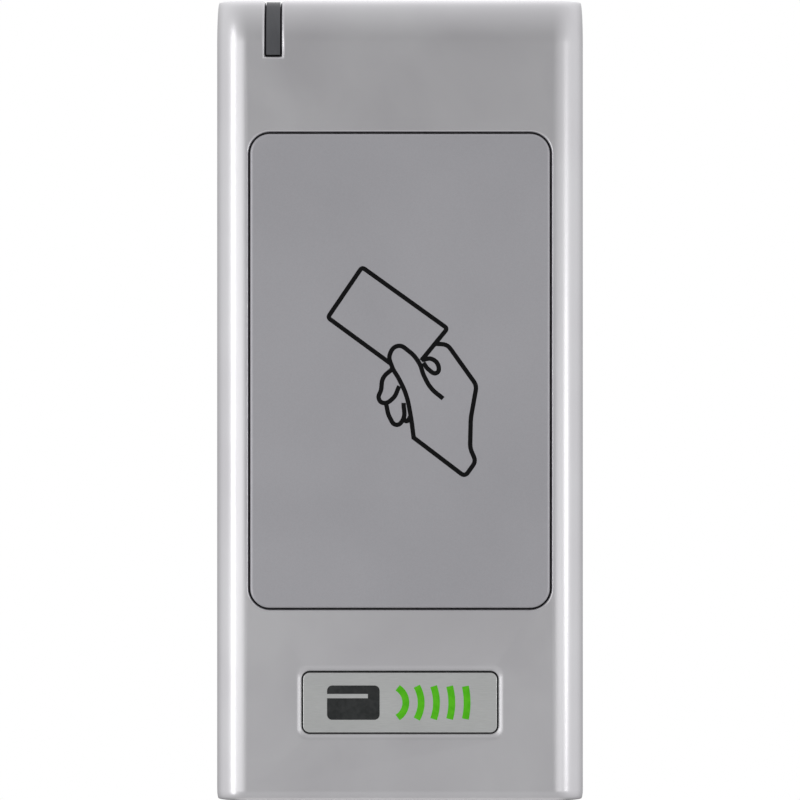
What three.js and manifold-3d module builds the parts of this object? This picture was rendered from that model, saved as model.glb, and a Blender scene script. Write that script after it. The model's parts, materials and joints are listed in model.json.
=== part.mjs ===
// A mullion-size RFID card reader for a door: a die-cast zinc housing with a plastic card window, a status
// light bar over its top edge and a badge, hung on a steel wall plate and held by a lock screw from below.
// Millimetres. +Z is up, the reader faces -Y, and the wall is the plane y = 0.
// The origin is on the wall plate's back face, behind the middle of the housing.
import * as THREE from "three";
import { mergeVertices } from "three/addons/utils/BufferGeometryUtils.js";
import Module from "manifold-3d";

const wasm = await Module();
wasm.setup();

// ---------------------------------------------------------------- driving dimensions

// Housing
const WIDTH = 50.5;
const HEIGHT = 110;
const OUTLINE_ROUND = 1; // the four corners, seen from the front
const DEPTH = 22; // wall to front face
const RIM_GAP = 0.3; // the rim stands this far off the wall
const SIDE_ROUND = 4.4; // long front edges
const TOP_ROUND = 3;
const BOTTOM_ROUND = 0.8;
const WALL = 2.2;
const FRONT_WALL = 2.4;
const TOP = HEIGHT / 2;
const BOTTOM = -HEIGHT / 2;
const FRONT = -DEPTH;
const INSIDE_FRONT = FRONT + FRONT_WALL;

// Card window
const WINDOW_Z = 4; // height of its middle
const POCKET = { width: 41.7, height: 65.6, round: 3, depth: 1.9 };
const LEDGE = 2.25; // what the window's seal lies on
const COLLAR_BACK = -18.4; // the thicker wall behind that ledge
const PANEL_GAP = 0.3;
const PANEL_PROUD = 0.4;
const PANEL_THICK = 1.8;

// Badge
const BADGE = { width: 26.6, height: 8.2, round: 0.9, thick: 0.75 };
const BADGE_Z = -41.5;
const BADGE_GAP = 0.25;
const BADGE_RECESS = 1;
const BADGE_CHAMFER = 0.45;

// Light bar
const BAR_X = -17.4;
const BAR_WIDTH = 1.9;
const BAR_GAP = 0.15;
const BAR_LOW = 47.35; // its lower end on the front
const BAR_BACK = -15.55; // its rear end on the top
const BAR_FLANGE = 1.9; // half width of the flange behind it

// Rear of the housing: a recess for the wall plate, and the sealed room in front of it
const PLATE_THICK = 1.5;
const RECESS_TOP = TOP - WALL;
const RECESS_LOW = BOTTOM + 2.4;
const LEDGE_Y = -9.1; // the cover's seal lies on it
const SEAL_THICK = 0.8;
const COVER_THICK = 2;
const COVER_FRONT = LEDGE_Y + SEAL_THICK;
const COVER_BACK = COVER_FRONT + COVER_THICK;
const COVER_TOP = 52.5;
const COVER_LOW = -42.6;
const COVER_HALF = 22.8;
const ROOM_HALF = 21.2;
const ROOM_TOP = 48;
const ROOM_LOW = -40.5;
const GUSSET = 8; // leg of the two lower corner gussets that take cover screws
const CABLE_Z = 16;

// Main board
const BOARD_FRONT = -15.7;
const BOARD_THICK = 1.6;
const BOARD_BACK = BOARD_FRONT + BOARD_THICK;
const BOARD_HALF = 20.6;
const BOARD_TOP = 47.2;
const BOARD_LOW = -39.7;
const BOARD_CORNER = 7.3;
const SOLDER = 0.05; // the height that solder lifts a part off the board

// Wall plate, its two hooks and its lock tab
const PLATE_HALF = 21.5;
const PLATE_TOP = 50.1;
const PLATE_LOW = -46.4;
const HOOK = { inner: 6, outer: 14, reach: -5.3, lip: 1.2, lipTop: 51.2 };
const RIB = { half: 18, front: -2.4, back: -1, low: 50.4 }; // the housing's rib that drops behind the lips
const SCREW_SLOTS_Z = [33, -27]; // 60 mm apart, as on a wall box
const SLOT = { width: 4.6, length: 9 };
const CABLE_HOLE_RADIUS = 7.5;
const TAB = { half: 6, reach: -9 };

// Lock screw, an M3 that rises through the bottom wall into a nut on the tab. It rests backed off.
const LOCK_Y = -5.2;
const LOCK_HEAD_LOW = BOTTOM + 0.2;
const LOCK_HEAD = { radius: 2.5, height: 1.8 };
const LOCK_SHANK = 1.45;
const LOCK_TIP = -47.2;
const COUNTERBORE_RADIUS = 2.9;
const COUNTERBORE_TOP = -48.85;
const LOCK_BOSS = { radius: 4.7, top: -47.7 };

// Screws
const COVER_SCREWS = [[-11, 50.3], [11, 50.3], [-18.6, -37.9], [18.6, -37.9]];
const COVER_SCREW = { head: 2.4, shank: 1.2, tip: -12.3 };
const BOARD_SCREWS = [[-17.2, 41.5], [17.2, 41.5], [-17.2, -31.5], [17.2, -31.5]];
const BOARD_SCREW = { head: 1.9, headHeight: 1.3, shank: 0.95, tip: -18.6 };

// ---------------------------------------------------------------- finishes

function finish(color, roughness, metalness = 0) {
  return new THREE.MeshStandardMaterial({ color, roughness, metalness });
}

const satinZinc = finish(0xa7a7ab, 0.35, 1);
const silverPaint = finish(0x96959a, 0.5);
const badgeMetal = finish(0x9fa09f, 0.4, 1);
const smokedAcrylic = finish(0x4a4a50, 0.15);
const galvanised = finish(0xb4b8ba, 0.45, 1);
const screwSteel = finish(0x8d8f92, 0.35, 1);
const blackPlastic = finish(0x1c1d1f, 0.6);
const blackRubber = finish(0x141414, 0.85);
const greyFoam = finish(0x3a3b3d, 0.95);
const paleAdhesive = finish(0xd8d8d0, 0.9);
const boardGreen = finish(0x1d5a35, 0.45);
const copperWire = finish(0xb3562b, 0.35, 1);
const ferriteGrey = finish(0x2e2d30, 0.7);
const chipBlack = finish(0x17181a, 0.5);
const tinned = finish(0xc9cbcc, 0.3, 1);
const canAluminium = finish(0xbfc1c4, 0.3, 1);
const headerWhite = finish(0xe6e2d6, 0.55);
const ledGreen = finish(0x9fd6a4, 0.3);
const ledRed = finish(0xe07a6c, 0.3);
const labelSilver = finish(0xc6c8ca, 0.5);

// ---------------------------------------------------------------- making solids

function solid(geometry) {
  geometry.deleteAttribute("normal");
  geometry.deleteAttribute("uv");
  const merged = mergeVertices(geometry, 1e-4);
  const mesh = new wasm.Mesh({
    numProp: 3,
    vertProperties: merged.attributes.position.array,
    triVerts: new Uint32Array(merged.index.array),
  });
  return new wasm.Manifold(mesh);
}

function geometryOf(manifold) {
  const { vertProperties, triVerts } = manifold.getMesh();
  const geometry = new THREE.BufferGeometry();
  geometry.setAttribute("position", new THREE.BufferAttribute(vertProperties, 3));
  geometry.setIndex(new THREE.BufferAttribute(triVerts, 1));
  return geometry;
}

function block([x0, x1], [y0, y1], [z0, z1]) {
  const box = new THREE.BoxGeometry(x1 - x0, y1 - y0, z1 - z0);
  return solid(box.translate((x0 + x1) / 2, (y0 + y1) / 2, (z0 + z1) / 2));
}

// A shape drawn in X and Z, made solid from y0 to y1. A chamfer widens it towards the front.
function slab(shape, [y0, y1], chamfer = 0) {
  const geometry = new THREE.ExtrudeGeometry(shape, {
    depth: y1 - y0,
    curveSegments: 4,
    bevelEnabled: chamfer > 0,
    bevelThickness: chamfer,
    bevelSize: chamfer,
    bevelSegments: 1,
  });
  return solid(geometry.rotateX(Math.PI / 2).translate(0, y1, 0));
}

// Round bars along Y and along Z
function barY(radius, [y0, y1], x, z, sides = 24) {
  const rod = new THREE.CylinderGeometry(radius, radius, y1 - y0, sides);
  return solid(rod.translate(x, (y0 + y1) / 2, z));
}

function barZ(radius, [z0, z1], x, y, sides = 24) {
  const rod = new THREE.CylinderGeometry(radius, radius, z1 - z0, sides);
  return solid(rod.rotateX(Math.PI / 2).translate(x, y, (z0 + z1) / 2));
}

// A profile of [radius, height] pairs turned about an axis along Y, at x and z
function turned(profile, x, z, sides = 16) {
  const points = profile.map(([r, h]) => new THREE.Vector2(r, h));
  return solid(new THREE.LatheGeometry(points, sides).translate(x, 0, z));
}

function roundedRect(width, height, radius, x = 0, z = 0) {
  const right = x + width / 2 - radius;
  const left = x - width / 2 + radius;
  const upper = z + height / 2 - radius;
  const lower = z - height / 2 + radius;
  const quarter = Math.PI / 2;
  const shape = new THREE.Shape();
  shape.moveTo(left, lower - radius);
  shape.absarc(right, lower, radius, -quarter, 0);
  shape.absarc(right, upper, radius, 0, quarter);
  shape.absarc(left, upper, radius, quarter, 2 * quarter);
  shape.absarc(left, lower, radius, 2 * quarter, 3 * quarter);
  return shape;
}

function polygon(points) {
  return new THREE.Shape(points.map(([x, z]) => new THREE.Vector2(x, z)));
}

// A rectangle whose two lower corners are cut off, as the sealed room, its seal and the board are
function cutRect(half, low, top, cut) {
  return polygon([
    [-half + cut, low], [half - cut, low], [half, low + cut],
    [half, top], [-half, top], [-half, low + cut],
  ]);
}

function joined(solids) {
  return solids.reduce((all, next) => all.add(next));
}

function cutBy(body, cutters) {
  return cutters.reduce((left, cutter) => left.subtract(cutter), body);
}

// ---------------------------------------------------------------- the reader's group

const reader = new THREE.Group();

function place(name, manifold, material) {
  const geometry = geometryOf(manifold);
  geometry.computeVertexNormals();
  const mesh = new THREE.Mesh(geometry, material);
  mesh.name = name;
  reader.add(mesh);
}

// ---------------------------------------------------------------- housing

// The outer form: a plan with round front corners, met by a side view with a round top and bottom edge and
// by a front view with small round corners
function housingForm() {
  const half = WIDTH / 2;
  const plan = new THREE.Shape();
  plan.moveTo(half, -RIM_GAP);
  plan.lineTo(-half, -RIM_GAP);
  plan.absarc(-half + SIDE_ROUND, FRONT + SIDE_ROUND, SIDE_ROUND, Math.PI, 1.5 * Math.PI);
  plan.absarc(half - SIDE_ROUND, FRONT + SIDE_ROUND, SIDE_ROUND, 1.5 * Math.PI, 2 * Math.PI);
  const upright = new THREE.ExtrudeGeometry(plan, {
    depth: HEIGHT,
    curveSegments: 8,
    bevelEnabled: false,
  });

  const side = new THREE.Shape();
  side.moveTo(-RIM_GAP, BOTTOM);
  side.lineTo(-RIM_GAP, TOP);
  side.absarc(FRONT + TOP_ROUND, TOP - TOP_ROUND, TOP_ROUND, 0.5 * Math.PI, Math.PI);
  side.absarc(FRONT + BOTTOM_ROUND, BOTTOM + BOTTOM_ROUND, BOTTOM_ROUND, Math.PI, 1.5 * Math.PI);
  const across = new THREE.ExtrudeGeometry(side, {
    depth: WIDTH + 2,
    curveSegments: 6,
    bevelEnabled: false,
  });
  const alongX = new THREE.Matrix4().makeBasis(
    new THREE.Vector3(0, 1, 0),
    new THREE.Vector3(0, 0, 1),
    new THREE.Vector3(1, 0, 0),
  );
  const sideForm = solid(across.applyMatrix4(alongX).translate(-half - 1, 0, 0));
  const outline = slab(roundedRect(WIDTH, HEIGHT, OUTLINE_ROUND), [FRONT - 1, 1]);
  return solid(upright.translate(0, 0, BOTTOM)).intersect(sideForm).intersect(outline);
}

function sealedRoom() {
  const room = cutRect(ROOM_HALF, ROOM_LOW, ROOM_TOP, GUSSET);
  const barNiche = block([BAR_X - 2.8, BAR_X + 2.8], [INSIDE_FRONT, -13.4], [ROOM_TOP - 1, RECESS_TOP]);
  return slab(room, [INSIDE_FRONT, LEDGE_Y + 1]).add(barNiche);
}

// Cored pockets that keep the casting's walls even, open to the rear
function corePockets() {
  const depth = [INSIDE_FRONT, LEDGE_Y + 1];
  const above = [ROOM_TOP + 2.4, RECESS_TOP];
  return [
    block([-7.5, 7.5], depth, above),
    block([14.5, 20.5], depth, above),
    block([-21, 21], depth, [RECESS_LOW, COVER_LOW - 0.2]),
  ];
}

function windowCollar() {
  const low = WINDOW_Z - POCKET.height / 2 - 2.7;
  const high = WINDOW_Z + POCKET.height / 2 + 2.7;
  return block([-ROOM_HALF - 0.5, ROOM_HALF + 0.5], [INSIDE_FRONT - 0.5, COLLAR_BACK], [low, high]);
}

function windowCuts() {
  const { width, height, round, depth } = POCKET;
  const pocket = roundedRect(width, height, round, 0, WINDOW_Z);
  const opening = roundedRect(width - 2 * LEDGE, height - 2 * LEDGE, round - 1, 0, WINDOW_Z);
  return [
    slab(pocket, [FRONT - 1, FRONT + depth]),
    slab(opening, [FRONT - 1, COLLAR_BACK + 1]),
  ];
}

function badgeCut() {
  const recess = roundedRect(
    BADGE.width + 2 * BADGE_GAP,
    BADGE.height + 2 * BADGE_GAP,
    BADGE.round + BADGE_GAP,
    0,
    BADGE_Z,
  );
  const mouth = slab(recess, [FRONT - 2, FRONT], BADGE_CHAMFER);
  return [slab(recess, [FRONT - 1, FRONT + BADGE_RECESS]), mouth];
}

function barSlot() {
  const half = BAR_WIDTH / 2 + BAR_GAP;
  const across = [BAR_X - half, BAR_X + half];
  return [
    block(across, [FRONT - 1, INSIDE_FRONT + 0.5], [BAR_LOW - BAR_GAP, TOP + 1]),
    block(across, [FRONT - 1, BAR_BACK + BAR_GAP], [RECESS_TOP - 0.5, TOP + 1]),
  ];
}

function frontHousing() {
  const recess = block([-WIDTH / 2 + WALL, WIDTH / 2 - WALL], [LEDGE_Y, 1], [RECESS_LOW, RECESS_TOP]);
  const shell = cutBy(housingForm(), [recess, sealedRoom(), ...corePockets()]);
  const bossDepth = [INSIDE_FRONT - 0.5, BOARD_FRONT - 0.05];
  const boardBosses = BOARD_SCREWS.map(([x, z]) => barY(2.3, bossDepth, x, z));
  const hookRib = block([-RIB.half, RIB.half], [RIB.front, RIB.back], [RIB.low, RECESS_TOP + 0.5]);
  const lockBoss = barZ(LOCK_BOSS.radius, [RECESS_LOW - 0.5, LOCK_BOSS.top], 0, LOCK_Y);
  const whole = joined([shell, windowCollar(), ...boardBosses, hookRib, lockBoss]);
  const pilots = [
    ...BOARD_SCREWS.map(([x, z]) => barY(1.05, [-19.2, BOARD_FRONT + 1], x, z, 16)),
    ...COVER_SCREWS.map(([x, z]) => barY(1.3, [-13.5, LEDGE_Y + 1], x, z, 16)),
    barZ(COUNTERBORE_RADIUS, [BOTTOM - 1, COUNTERBORE_TOP], 0, LOCK_Y),
    barZ(1.65, [BOTTOM, LOCK_BOSS.top + 1], 0, LOCK_Y, 16),
  ];
  return cutBy(whole, [...windowCuts(), ...badgeCut(), ...barSlot(), ...pilots]);
}

place("front_housing", frontHousing(), satinZinc);

// ---------------------------------------------------------------- card window

const panelWidth = POCKET.width - 2 * PANEL_GAP;
const panelHeight = POCKET.height - 2 * PANEL_GAP;
const panelBack = FRONT - PANEL_PROUD + PANEL_THICK;
const PANEL_BEVEL = 0.4;

function windowPanel() {
  const round = POCKET.round - PANEL_GAP;
  const inset = 2 * PANEL_BEVEL;
  const face = roundedRect(panelWidth - inset, panelHeight - inset, round - PANEL_BEVEL, 0, WINDOW_Z);
  const depth = [FRONT - PANEL_PROUD + PANEL_BEVEL, panelBack];
  const bevelled = slab(face, depth, PANEL_BEVEL);
  const behind = slab(roundedRect(60, 90, 1, 0, WINDOW_Z), [panelBack, panelBack + 2]);
  return bevelled.subtract(behind);
}

function windowSeal() {
  const ring = roundedRect(panelWidth - 0.4, panelHeight - 0.4, 2.5, 0, WINDOW_Z);
  const margin = 2 * LEDGE - 0.4;
  ring.holes.push(roundedRect(POCKET.width - margin, POCKET.height - margin, 2, 0, WINDOW_Z));
  return slab(ring, [panelBack + 0.05, FRONT + POCKET.depth - 0.05]);
}

place("window_panel", windowPanel(), silverPaint);
place("window_seal", windowSeal(), greyFoam);

// ---------------------------------------------------------------- badge

const badgeFront = FRONT + 0.05;
const badgeBack = badgeFront + BADGE.thick;

function badgePlate() {
  const { width, height, round } = BADGE;
  return slab(roundedRect(width, height, round, 0, BADGE_Z), [badgeFront, badgeBack]);
}

function badgeAdhesive() {
  const pad = roundedRect(BADGE.width - 1, BADGE.height - 1, 0.5, 0, BADGE_Z);
  return slab(pad, [badgeBack + 0.04, FRONT + BADGE_RECESS - 0.04]);
}

place("badge_plate", badgePlate(), badgeMetal);
place("badge_adhesive", badgeAdhesive(), paleAdhesive);

// ---------------------------------------------------------------- light bar and its two lamps

// The bar runs up the front and over the top edge. Its flange inside keeps it from being pushed out.
function lightBar() {
  const across = [BAR_X - BAR_WIDTH / 2, BAR_X + BAR_WIDTH / 2];
  const flange = [BAR_X - BAR_FLANGE, BAR_X + BAR_FLANGE];
  const skin = INSIDE_FRONT + 0.1;
  const roof = RECESS_TOP - 0.1;
  const outside = joined([
    block(across, [FRONT - 1, skin + 0.5], [BAR_LOW, TOP + 1]),
    block(across, [FRONT - 1, BAR_BACK], [roof - 0.5, TOP + 1]),
  ]).intersect(solid(geometryOf(housingForm()).translate(0, BAR_GAP, -BAR_GAP)));
  return joined([
    outside,
    block(flange, [skin, skin + 1.2], [BAR_LOW - 1.7, roof]),
    block(flange, [skin, BAR_BACK + 0.9], [roof - 1.3, roof]),
    block(across, [skin, BOARD_FRONT - 0.95], [BAR_LOW - 2.7, BAR_LOW]),
  ]);
}

place("light_bar", lightBar(), smokedAcrylic);
const lampDepth = [BOARD_FRONT - 0.8, BOARD_FRONT - SOLDER];
place("status_led_green", block([BAR_X - 1, BAR_X + 1], lampDepth, [45.9, 47]), ledGreen);
place("status_led_red", block([BAR_X - 1, BAR_X + 1], lampDepth, [44.6, 45.7]), ledRed);

// ---------------------------------------------------------------- main board

function mainBoard() {
  const outline = cutRect(BOARD_HALF, BOARD_LOW, BOARD_TOP, BOARD_CORNER);
  const holes = BOARD_SCREWS.map(([x, z]) => barY(1.2, [BOARD_FRONT - 1, BOARD_BACK + 1], x, z, 16));
  return cutBy(slab(outline, [BOARD_FRONT, BOARD_BACK]), holes);
}

place("main_board", mainBoard(), boardGreen);

// Two crossed slots for a driver, in a head whose face is at y
function crossRecess(reach, depth, y, x, z) {
  const span = [y - depth, y + 1];
  return [
    block([x - reach, x + reach], span, [z - 0.28, z + 0.28]),
    block([x - 0.28, x + 0.28], span, [z - reach, z + reach]),
  ];
}

function boardScrew(x, z) {
  const { head, headHeight, shank, tip } = BOARD_SCREW;
  const seat = BOARD_BACK + 0.05;
  const crown = seat + headHeight;
  const profile = [
    [0, tip], [shank, tip + 0.6], [shank, seat], [head, seat],
    [head, crown - 0.4], [head - 0.5, crown], [0, crown],
  ];
  return cutBy(turned(profile, x, z, 12), crossRecess(1.1, 0.7, crown, x, z));
}

BOARD_SCREWS.forEach(([x, z], i) => place(`board_screw_${i + 1}`, boardScrew(x, z), screwSteel));

// ---------------------------------------------------------------- antenna, in front of the board

const COIL = { width: 35.5, height: 57.5, wire: 3, round: 6, front: -19.2, back: -16.4 };

function antennaCoil() {
  const { width, height, wire, round, front, back } = COIL;
  const ring = roundedRect(width, height, round, 0, WINDOW_Z);
  ring.holes.push(roundedRect(width - 2 * wire, height - 2 * wire, round - wire, 0, WINDOW_Z));
  return slab(ring, [front, back]);
}

function ferriteSheet() {
  return slab(roundedRect(38, 60, 2, 0, WINDOW_Z), [COIL.back + 0.05, BOARD_FRONT - 0.05]);
}

// One end of the coil's wire, from the winding down to its pad on the board
function antennaLead(x) {
  const wire = new THREE.Shape().absarc(0, 0, 0.25, 0, 2 * Math.PI);
  const coilLow = WINDOW_Z - COIL.height / 2;
  const route = new THREE.CatmullRomCurve3([
    new THREE.Vector3(x, -17.6, coilLow - 0.1),
    new THREE.Vector3(x, -17.3, coilLow - 1),
    new THREE.Vector3(x, -16.6, coilLow - 2),
    new THREE.Vector3(x, BOARD_FRONT - 0.32, coilLow - 3.2),
    new THREE.Vector3(x, BOARD_FRONT - 0.3, coilLow - 4),
  ]);
  return solid(new THREE.ExtrudeGeometry(wire, { steps: 8, curveSegments: 4, extrudePath: route }));
}

place("antenna_coil", antennaCoil(), copperWire);
place("antenna_lead_1", antennaLead(-2), copperWire);
place("antenna_lead_2", antennaLead(2), copperWire);
place("ferrite_sheet", ferriteSheet(), ferriteGrey);

// ---------------------------------------------------------------- parts on the board's back

const onBoard = BOARD_BACK + SOLDER;

// The outline of one bent leg, drawn as if it stands out towards +X from a chip's side at the origin
function chipLeg(thick, width) {
  const shoulder = 0.55 * thick;
  const outline = polygon([
    [-0.2, shoulder - 0.15], [0.3, shoulder - 0.15], [0.3, 0], [1, 0],
    [1, 0.15], [0.45, 0.15], [0.45, shoulder], [-0.2, shoulder],
  ]);
  const leg = new THREE.ExtrudeGeometry(outline, { depth: width, bevelEnabled: false });
  return leg.translate(0, 0, -width / 2);
}

// A moulded chip. Quarters says which sides have legs: 0 is towards +X, 1 towards +Z, and so on round.
function chip({ x, z, width, height, thick, legs, pitch, quarters, legWidth = 0.35 }) {
  const leg = chipLeg(thick, legWidth);
  const parts = [slab(roundedRect(width, height, 0.1, x, z), [onBoard + 0.1, onBoard + thick])];
  for (const quarter of quarters) {
    const reach = (quarter % 2 === 0 ? width : height) / 2;
    for (let i = 0; i < legs; i++) {
      const along = (i - (legs - 1) / 2) * pitch;
      const turnedLeg = leg.clone().translate(reach, 0, along).rotateY((-quarter * Math.PI) / 2);
      parts.push(solid(turnedLeg.translate(x, onBoard, z)));
    }
  }
  return joined(parts);
}

place("microcontroller", chip({
  x: 1, z: -4, width: 7, height: 7, thick: 1.5, legs: 8, pitch: 0.8, quarters: [0, 1, 2, 3],
}), chipBlack);
place("rf_chip", chip({
  x: 1, z: -20, width: 8.7, height: 3.9, thick: 1.6, legs: 7, pitch: 1.27, quarters: [1, 3],
}), chipBlack);
place("voltage_regulator", chip({
  x: -13.5, z: 31, width: 3.5, height: 6.5, thick: 1.7, legs: 3, pitch: 2.3, quarters: [0, 2], legWidth: 0.8,
}), chipBlack);
place("surge_diode", chip({
  x: 15.5, z: 22, width: 2.6, height: 4.3, thick: 2.2, legs: 1, pitch: 1, quarters: [1, 3], legWidth: 1.5,
}), chipBlack);

function crystalCan(x, z) {
  return slab(roundedRect(4.6, 11, 2.2, x, z), [onBoard, onBoard + 3.4]);
}

place("crystal", crystalCan(-12, -6), canAluminium);

function canCapacitor(x, z, radius) {
  const high = onBoard + 5;
  const foot = roundedRect(2 * radius + 0.3, 2 * radius + 0.3, 0.6, x, z);
  const shoulder = [[radius, onBoard + 0.5], [radius, high - 0.3], [radius - 0.3, high]];
  const can = turned([[0, onBoard + 0.5], ...shoulder, [0, high]], x, z);
  return slab(foot, [onBoard, onBoard + 0.7]).add(can);
}

place("supply_capacitor", canCapacitor(13.5, 36, 3.15), canAluminium);
place("filter_capacitor", canCapacitor(13.5, 10, 2.5), canAluminium);

// A magnetic sounder with the small sound hole in its cap
function buzzer(x, z) {
  const high = onBoard + 4.6;
  const can = turned([[0, onBoard], [4.6, onBoard], [4.6, high - 0.4], [4.2, high], [0, high]], x, z, 20);
  return can.subtract(barY(0.9, [high - 1.6, high + 1], x, z, 16));
}

place("buzzer", buzzer(-13, 14), blackPlastic);

// The header that the cable's plug goes into: it opens downwards, towards the cable's grommet
const HEADER = { half: 8.8, low: 26.6, high: 31.6, tall: 4, pins: 10, pitch: 1.5, pinY: onBoard + 2.1 };

function headerPinX(i) {
  return (i - (HEADER.pins - 1) / 2) * HEADER.pitch;
}

function cableHeader() {
  const { half, low, high, tall, pinY } = HEADER;
  const shroud = block([-half, half], [onBoard, onBoard + tall], [low, high]);
  const socketDepth = [onBoard + 0.7, onBoard + tall - 0.7];
  const socket = block([-half + 0.7, half - 0.7], socketDepth, [low - 1, high - 1.3]);
  const holes = Array.from({ length: HEADER.pins }, (_, i) => {
    const x = headerPinX(i);
    return block([x - 0.35, x + 0.35], [pinY - 0.35, pinY + 0.35], [high - 2, high + 1]);
  });
  return cutBy(shroud, [socket, ...holes]);
}

function headerPin(x) {
  const { low, high, pinY } = HEADER;
  const across = [x - 0.25, x + 0.25];
  return joined([
    block(across, [pinY - 0.25, pinY + 0.25], [low + 0.8, high + 0.7]),
    block(across, [onBoard, pinY + 0.25], [high + 0.3, high + 0.8]),
  ]);
}

place("cable_header", cableHeader(), headerWhite);
for (let i = 0; i < HEADER.pins; i++) {
  place(`header_pin_${i + 1}`, headerPin(headerPinX(i)), tinned);
}

// ---------------------------------------------------------------- rear cover, its seal and screws

const coverHeight = COVER_TOP - COVER_LOW;
const coverMiddle = (COVER_TOP + COVER_LOW) / 2;

function rearSeal() {
  const ring = roundedRect(2 * COVER_HALF - 0.4, coverHeight - 0.4, 1, 0, coverMiddle);
  ring.holes.push(cutRect(ROOM_HALF + 0.2, ROOM_LOW - 0.2, ROOM_TOP + 0.2, GUSSET));
  const holes = COVER_SCREWS.map(([x, z]) => barY(1.5, [LEDGE_Y - 1, COVER_FRONT + 1], x, z, 16));
  return cutBy(slab(ring, [LEDGE_Y + 0.05, COVER_FRONT - 0.05]), holes);
}

function rearCover() {
  const plate = roundedRect(2 * COVER_HALF, coverHeight, 1.2, 0, coverMiddle);
  const sinks = COVER_SCREWS.map(([x, z]) => turned([
    [0, COVER_FRONT - 1], [1.45, COVER_FRONT - 1], [1.45, COVER_BACK - 1.3],
    [2.65, COVER_BACK - 0.1], [2.65, COVER_BACK + 1], [0, COVER_BACK + 1],
  ], x, z));
  const cableHole = barY(4.5, [COVER_FRONT - 1, COVER_BACK + 1], 0, CABLE_Z);
  return cutBy(slab(plate, [COVER_FRONT, COVER_BACK]), [...sinks, cableHole]);
}

function coverScrew(x, z) {
  const { head, shank, tip } = COVER_SCREW;
  const face = COVER_BACK - 0.1;
  const sink = [[shank, face - 1.3], [head, face - 0.1], [head, face]];
  const profile = [[0, tip], [shank, tip + 0.8], ...sink, [0, face]];
  return cutBy(turned(profile, x, z, 12), crossRecess(1.3, 0.8, face, x, z));
}

// The rubber grommet that the cable leaves by
function cableGrommet() {
  const bore = 3.2;
  const neck = 4.4;
  const flange = 6;
  const inner = COVER_FRONT - 0.1;
  const outer = COVER_BACK + 0.1;
  return turned([
    [bore, inner - 1.1], [flange - 0.3, inner - 1.1], [flange, inner], [neck, inner], [neck, outer],
    [flange, outer], [flange - 0.4, outer + 1.2], [bore, outer + 1.2], [bore, inner - 1.1],
  ], 0, CABLE_Z, 24);
}

// A blank foil label on the cover
function ratingLabel() {
  return slab(roundedRect(30, 20, 1.5, 0, -18), [COVER_BACK + 0.02, COVER_BACK + 0.15]);
}

place("rear_seal", rearSeal(), blackRubber);
place("rear_cover", rearCover(), blackPlastic);
COVER_SCREWS.forEach(([x, z], i) => place(`cover_screw_${i + 1}`, coverScrew(x, z), screwSteel));
place("cable_grommet", cableGrommet(), blackRubber);
place("rating_label", ratingLabel(), labelSilver);

// ---------------------------------------------------------------- wall plate

function slotHole(alongX, z) {
  const { width, length } = SLOT;
  const outline = alongX
    ? roundedRect(length, width, width / 2 - 0.01, 0, z)
    : roundedRect(width, length, width / 2 - 0.01, 0, z);
  return slab(outline, [-PLATE_THICK - 1, 1]);
}

function wallPlate() {
  const middle = (PLATE_TOP + PLATE_LOW) / 2;
  const sheet = slab(roundedRect(2 * PLATE_HALF, PLATE_TOP - PLATE_LOW, 2, 0, middle), [-PLATE_THICK, 0]);
  const hooks = [-1, 1].flatMap((side) => {
    const across = [side * HOOK.inner, side * HOOK.outer].sort((a, b) => a - b);
    return [
      block(across, [HOOK.reach, -0.5], [PLATE_TOP - PLATE_THICK, PLATE_TOP]),
      block(across, [HOOK.reach, HOOK.reach + HOOK.lip], [PLATE_TOP - PLATE_THICK, HOOK.lipTop]),
    ];
  });
  const tab = block([-TAB.half, TAB.half], [TAB.reach, -0.5], [PLATE_LOW, PLATE_LOW + PLATE_THICK]);
  return cutBy(joined([sheet, ...hooks, tab]), [
    barY(CABLE_HOLE_RADIUS, [-PLATE_THICK - 1, 1], 0, CABLE_Z, 32),
    slotHole(true, SCREW_SLOTS_Z[0]),
    slotHole(false, SCREW_SLOTS_Z[1]),
    barZ(2.2, [PLATE_LOW - 1, PLATE_LOW + PLATE_THICK + 1], 0, LOCK_Y),
  ]);
}

// A clinch nut, pressed into the tab from above, for the lock screw
function lockNut() {
  const seat = PLATE_LOW + PLATE_THICK + 0.05;
  const sleeve = barZ(2.1, [PLATE_LOW + 0.1, seat + 0.5], 0, LOCK_Y);
  const collar = barZ(3, [seat, seat + 1.6], 0, LOCK_Y, 12);
  return sleeve.add(collar).subtract(barZ(1.6, [PLATE_LOW - 1, seat + 3], 0, LOCK_Y));
}

place("wall_plate", wallPlate(), galvanised);
place("lock_nut", lockNut(), screwSteel);

// ---------------------------------------------------------------- lock screw and its O-ring

function lockScrew() {
  const seat = LOCK_HEAD_LOW + LOCK_HEAD.height;
  const { radius } = LOCK_HEAD;
  const profile = [
    [0, LOCK_HEAD_LOW], [radius - 0.3, LOCK_HEAD_LOW], [radius, LOCK_HEAD_LOW + 0.3], [radius, seat],
    [LOCK_SHANK, seat], [LOCK_SHANK, LOCK_TIP - 0.5], [LOCK_SHANK - 0.5, LOCK_TIP], [0, LOCK_TIP],
  ].map(([r, h]) => new THREE.Vector2(r, h));
  const blank = new THREE.LatheGeometry(profile, 24).rotateX(Math.PI / 2).translate(0, LOCK_Y, 0);
  const socket = barZ(1.15, [LOCK_HEAD_LOW - 1, LOCK_HEAD_LOW + 1.2], 0, LOCK_Y, 6);
  return solid(blank).subtract(socket);
}

function lockRing() {
  const section = 0.5;
  const ring = new THREE.TorusGeometry(LOCK_SHANK + section + 0.1, section, 8, 24);
  return solid(ring.translate(0, LOCK_Y, LOCK_HEAD_LOW + LOCK_HEAD.height + section + 0.05));
}

place("lock_screw", lockScrew(), screwSteel);
place("lock_screw_ring", lockRing(), blackRubber);

export default reader;
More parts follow.
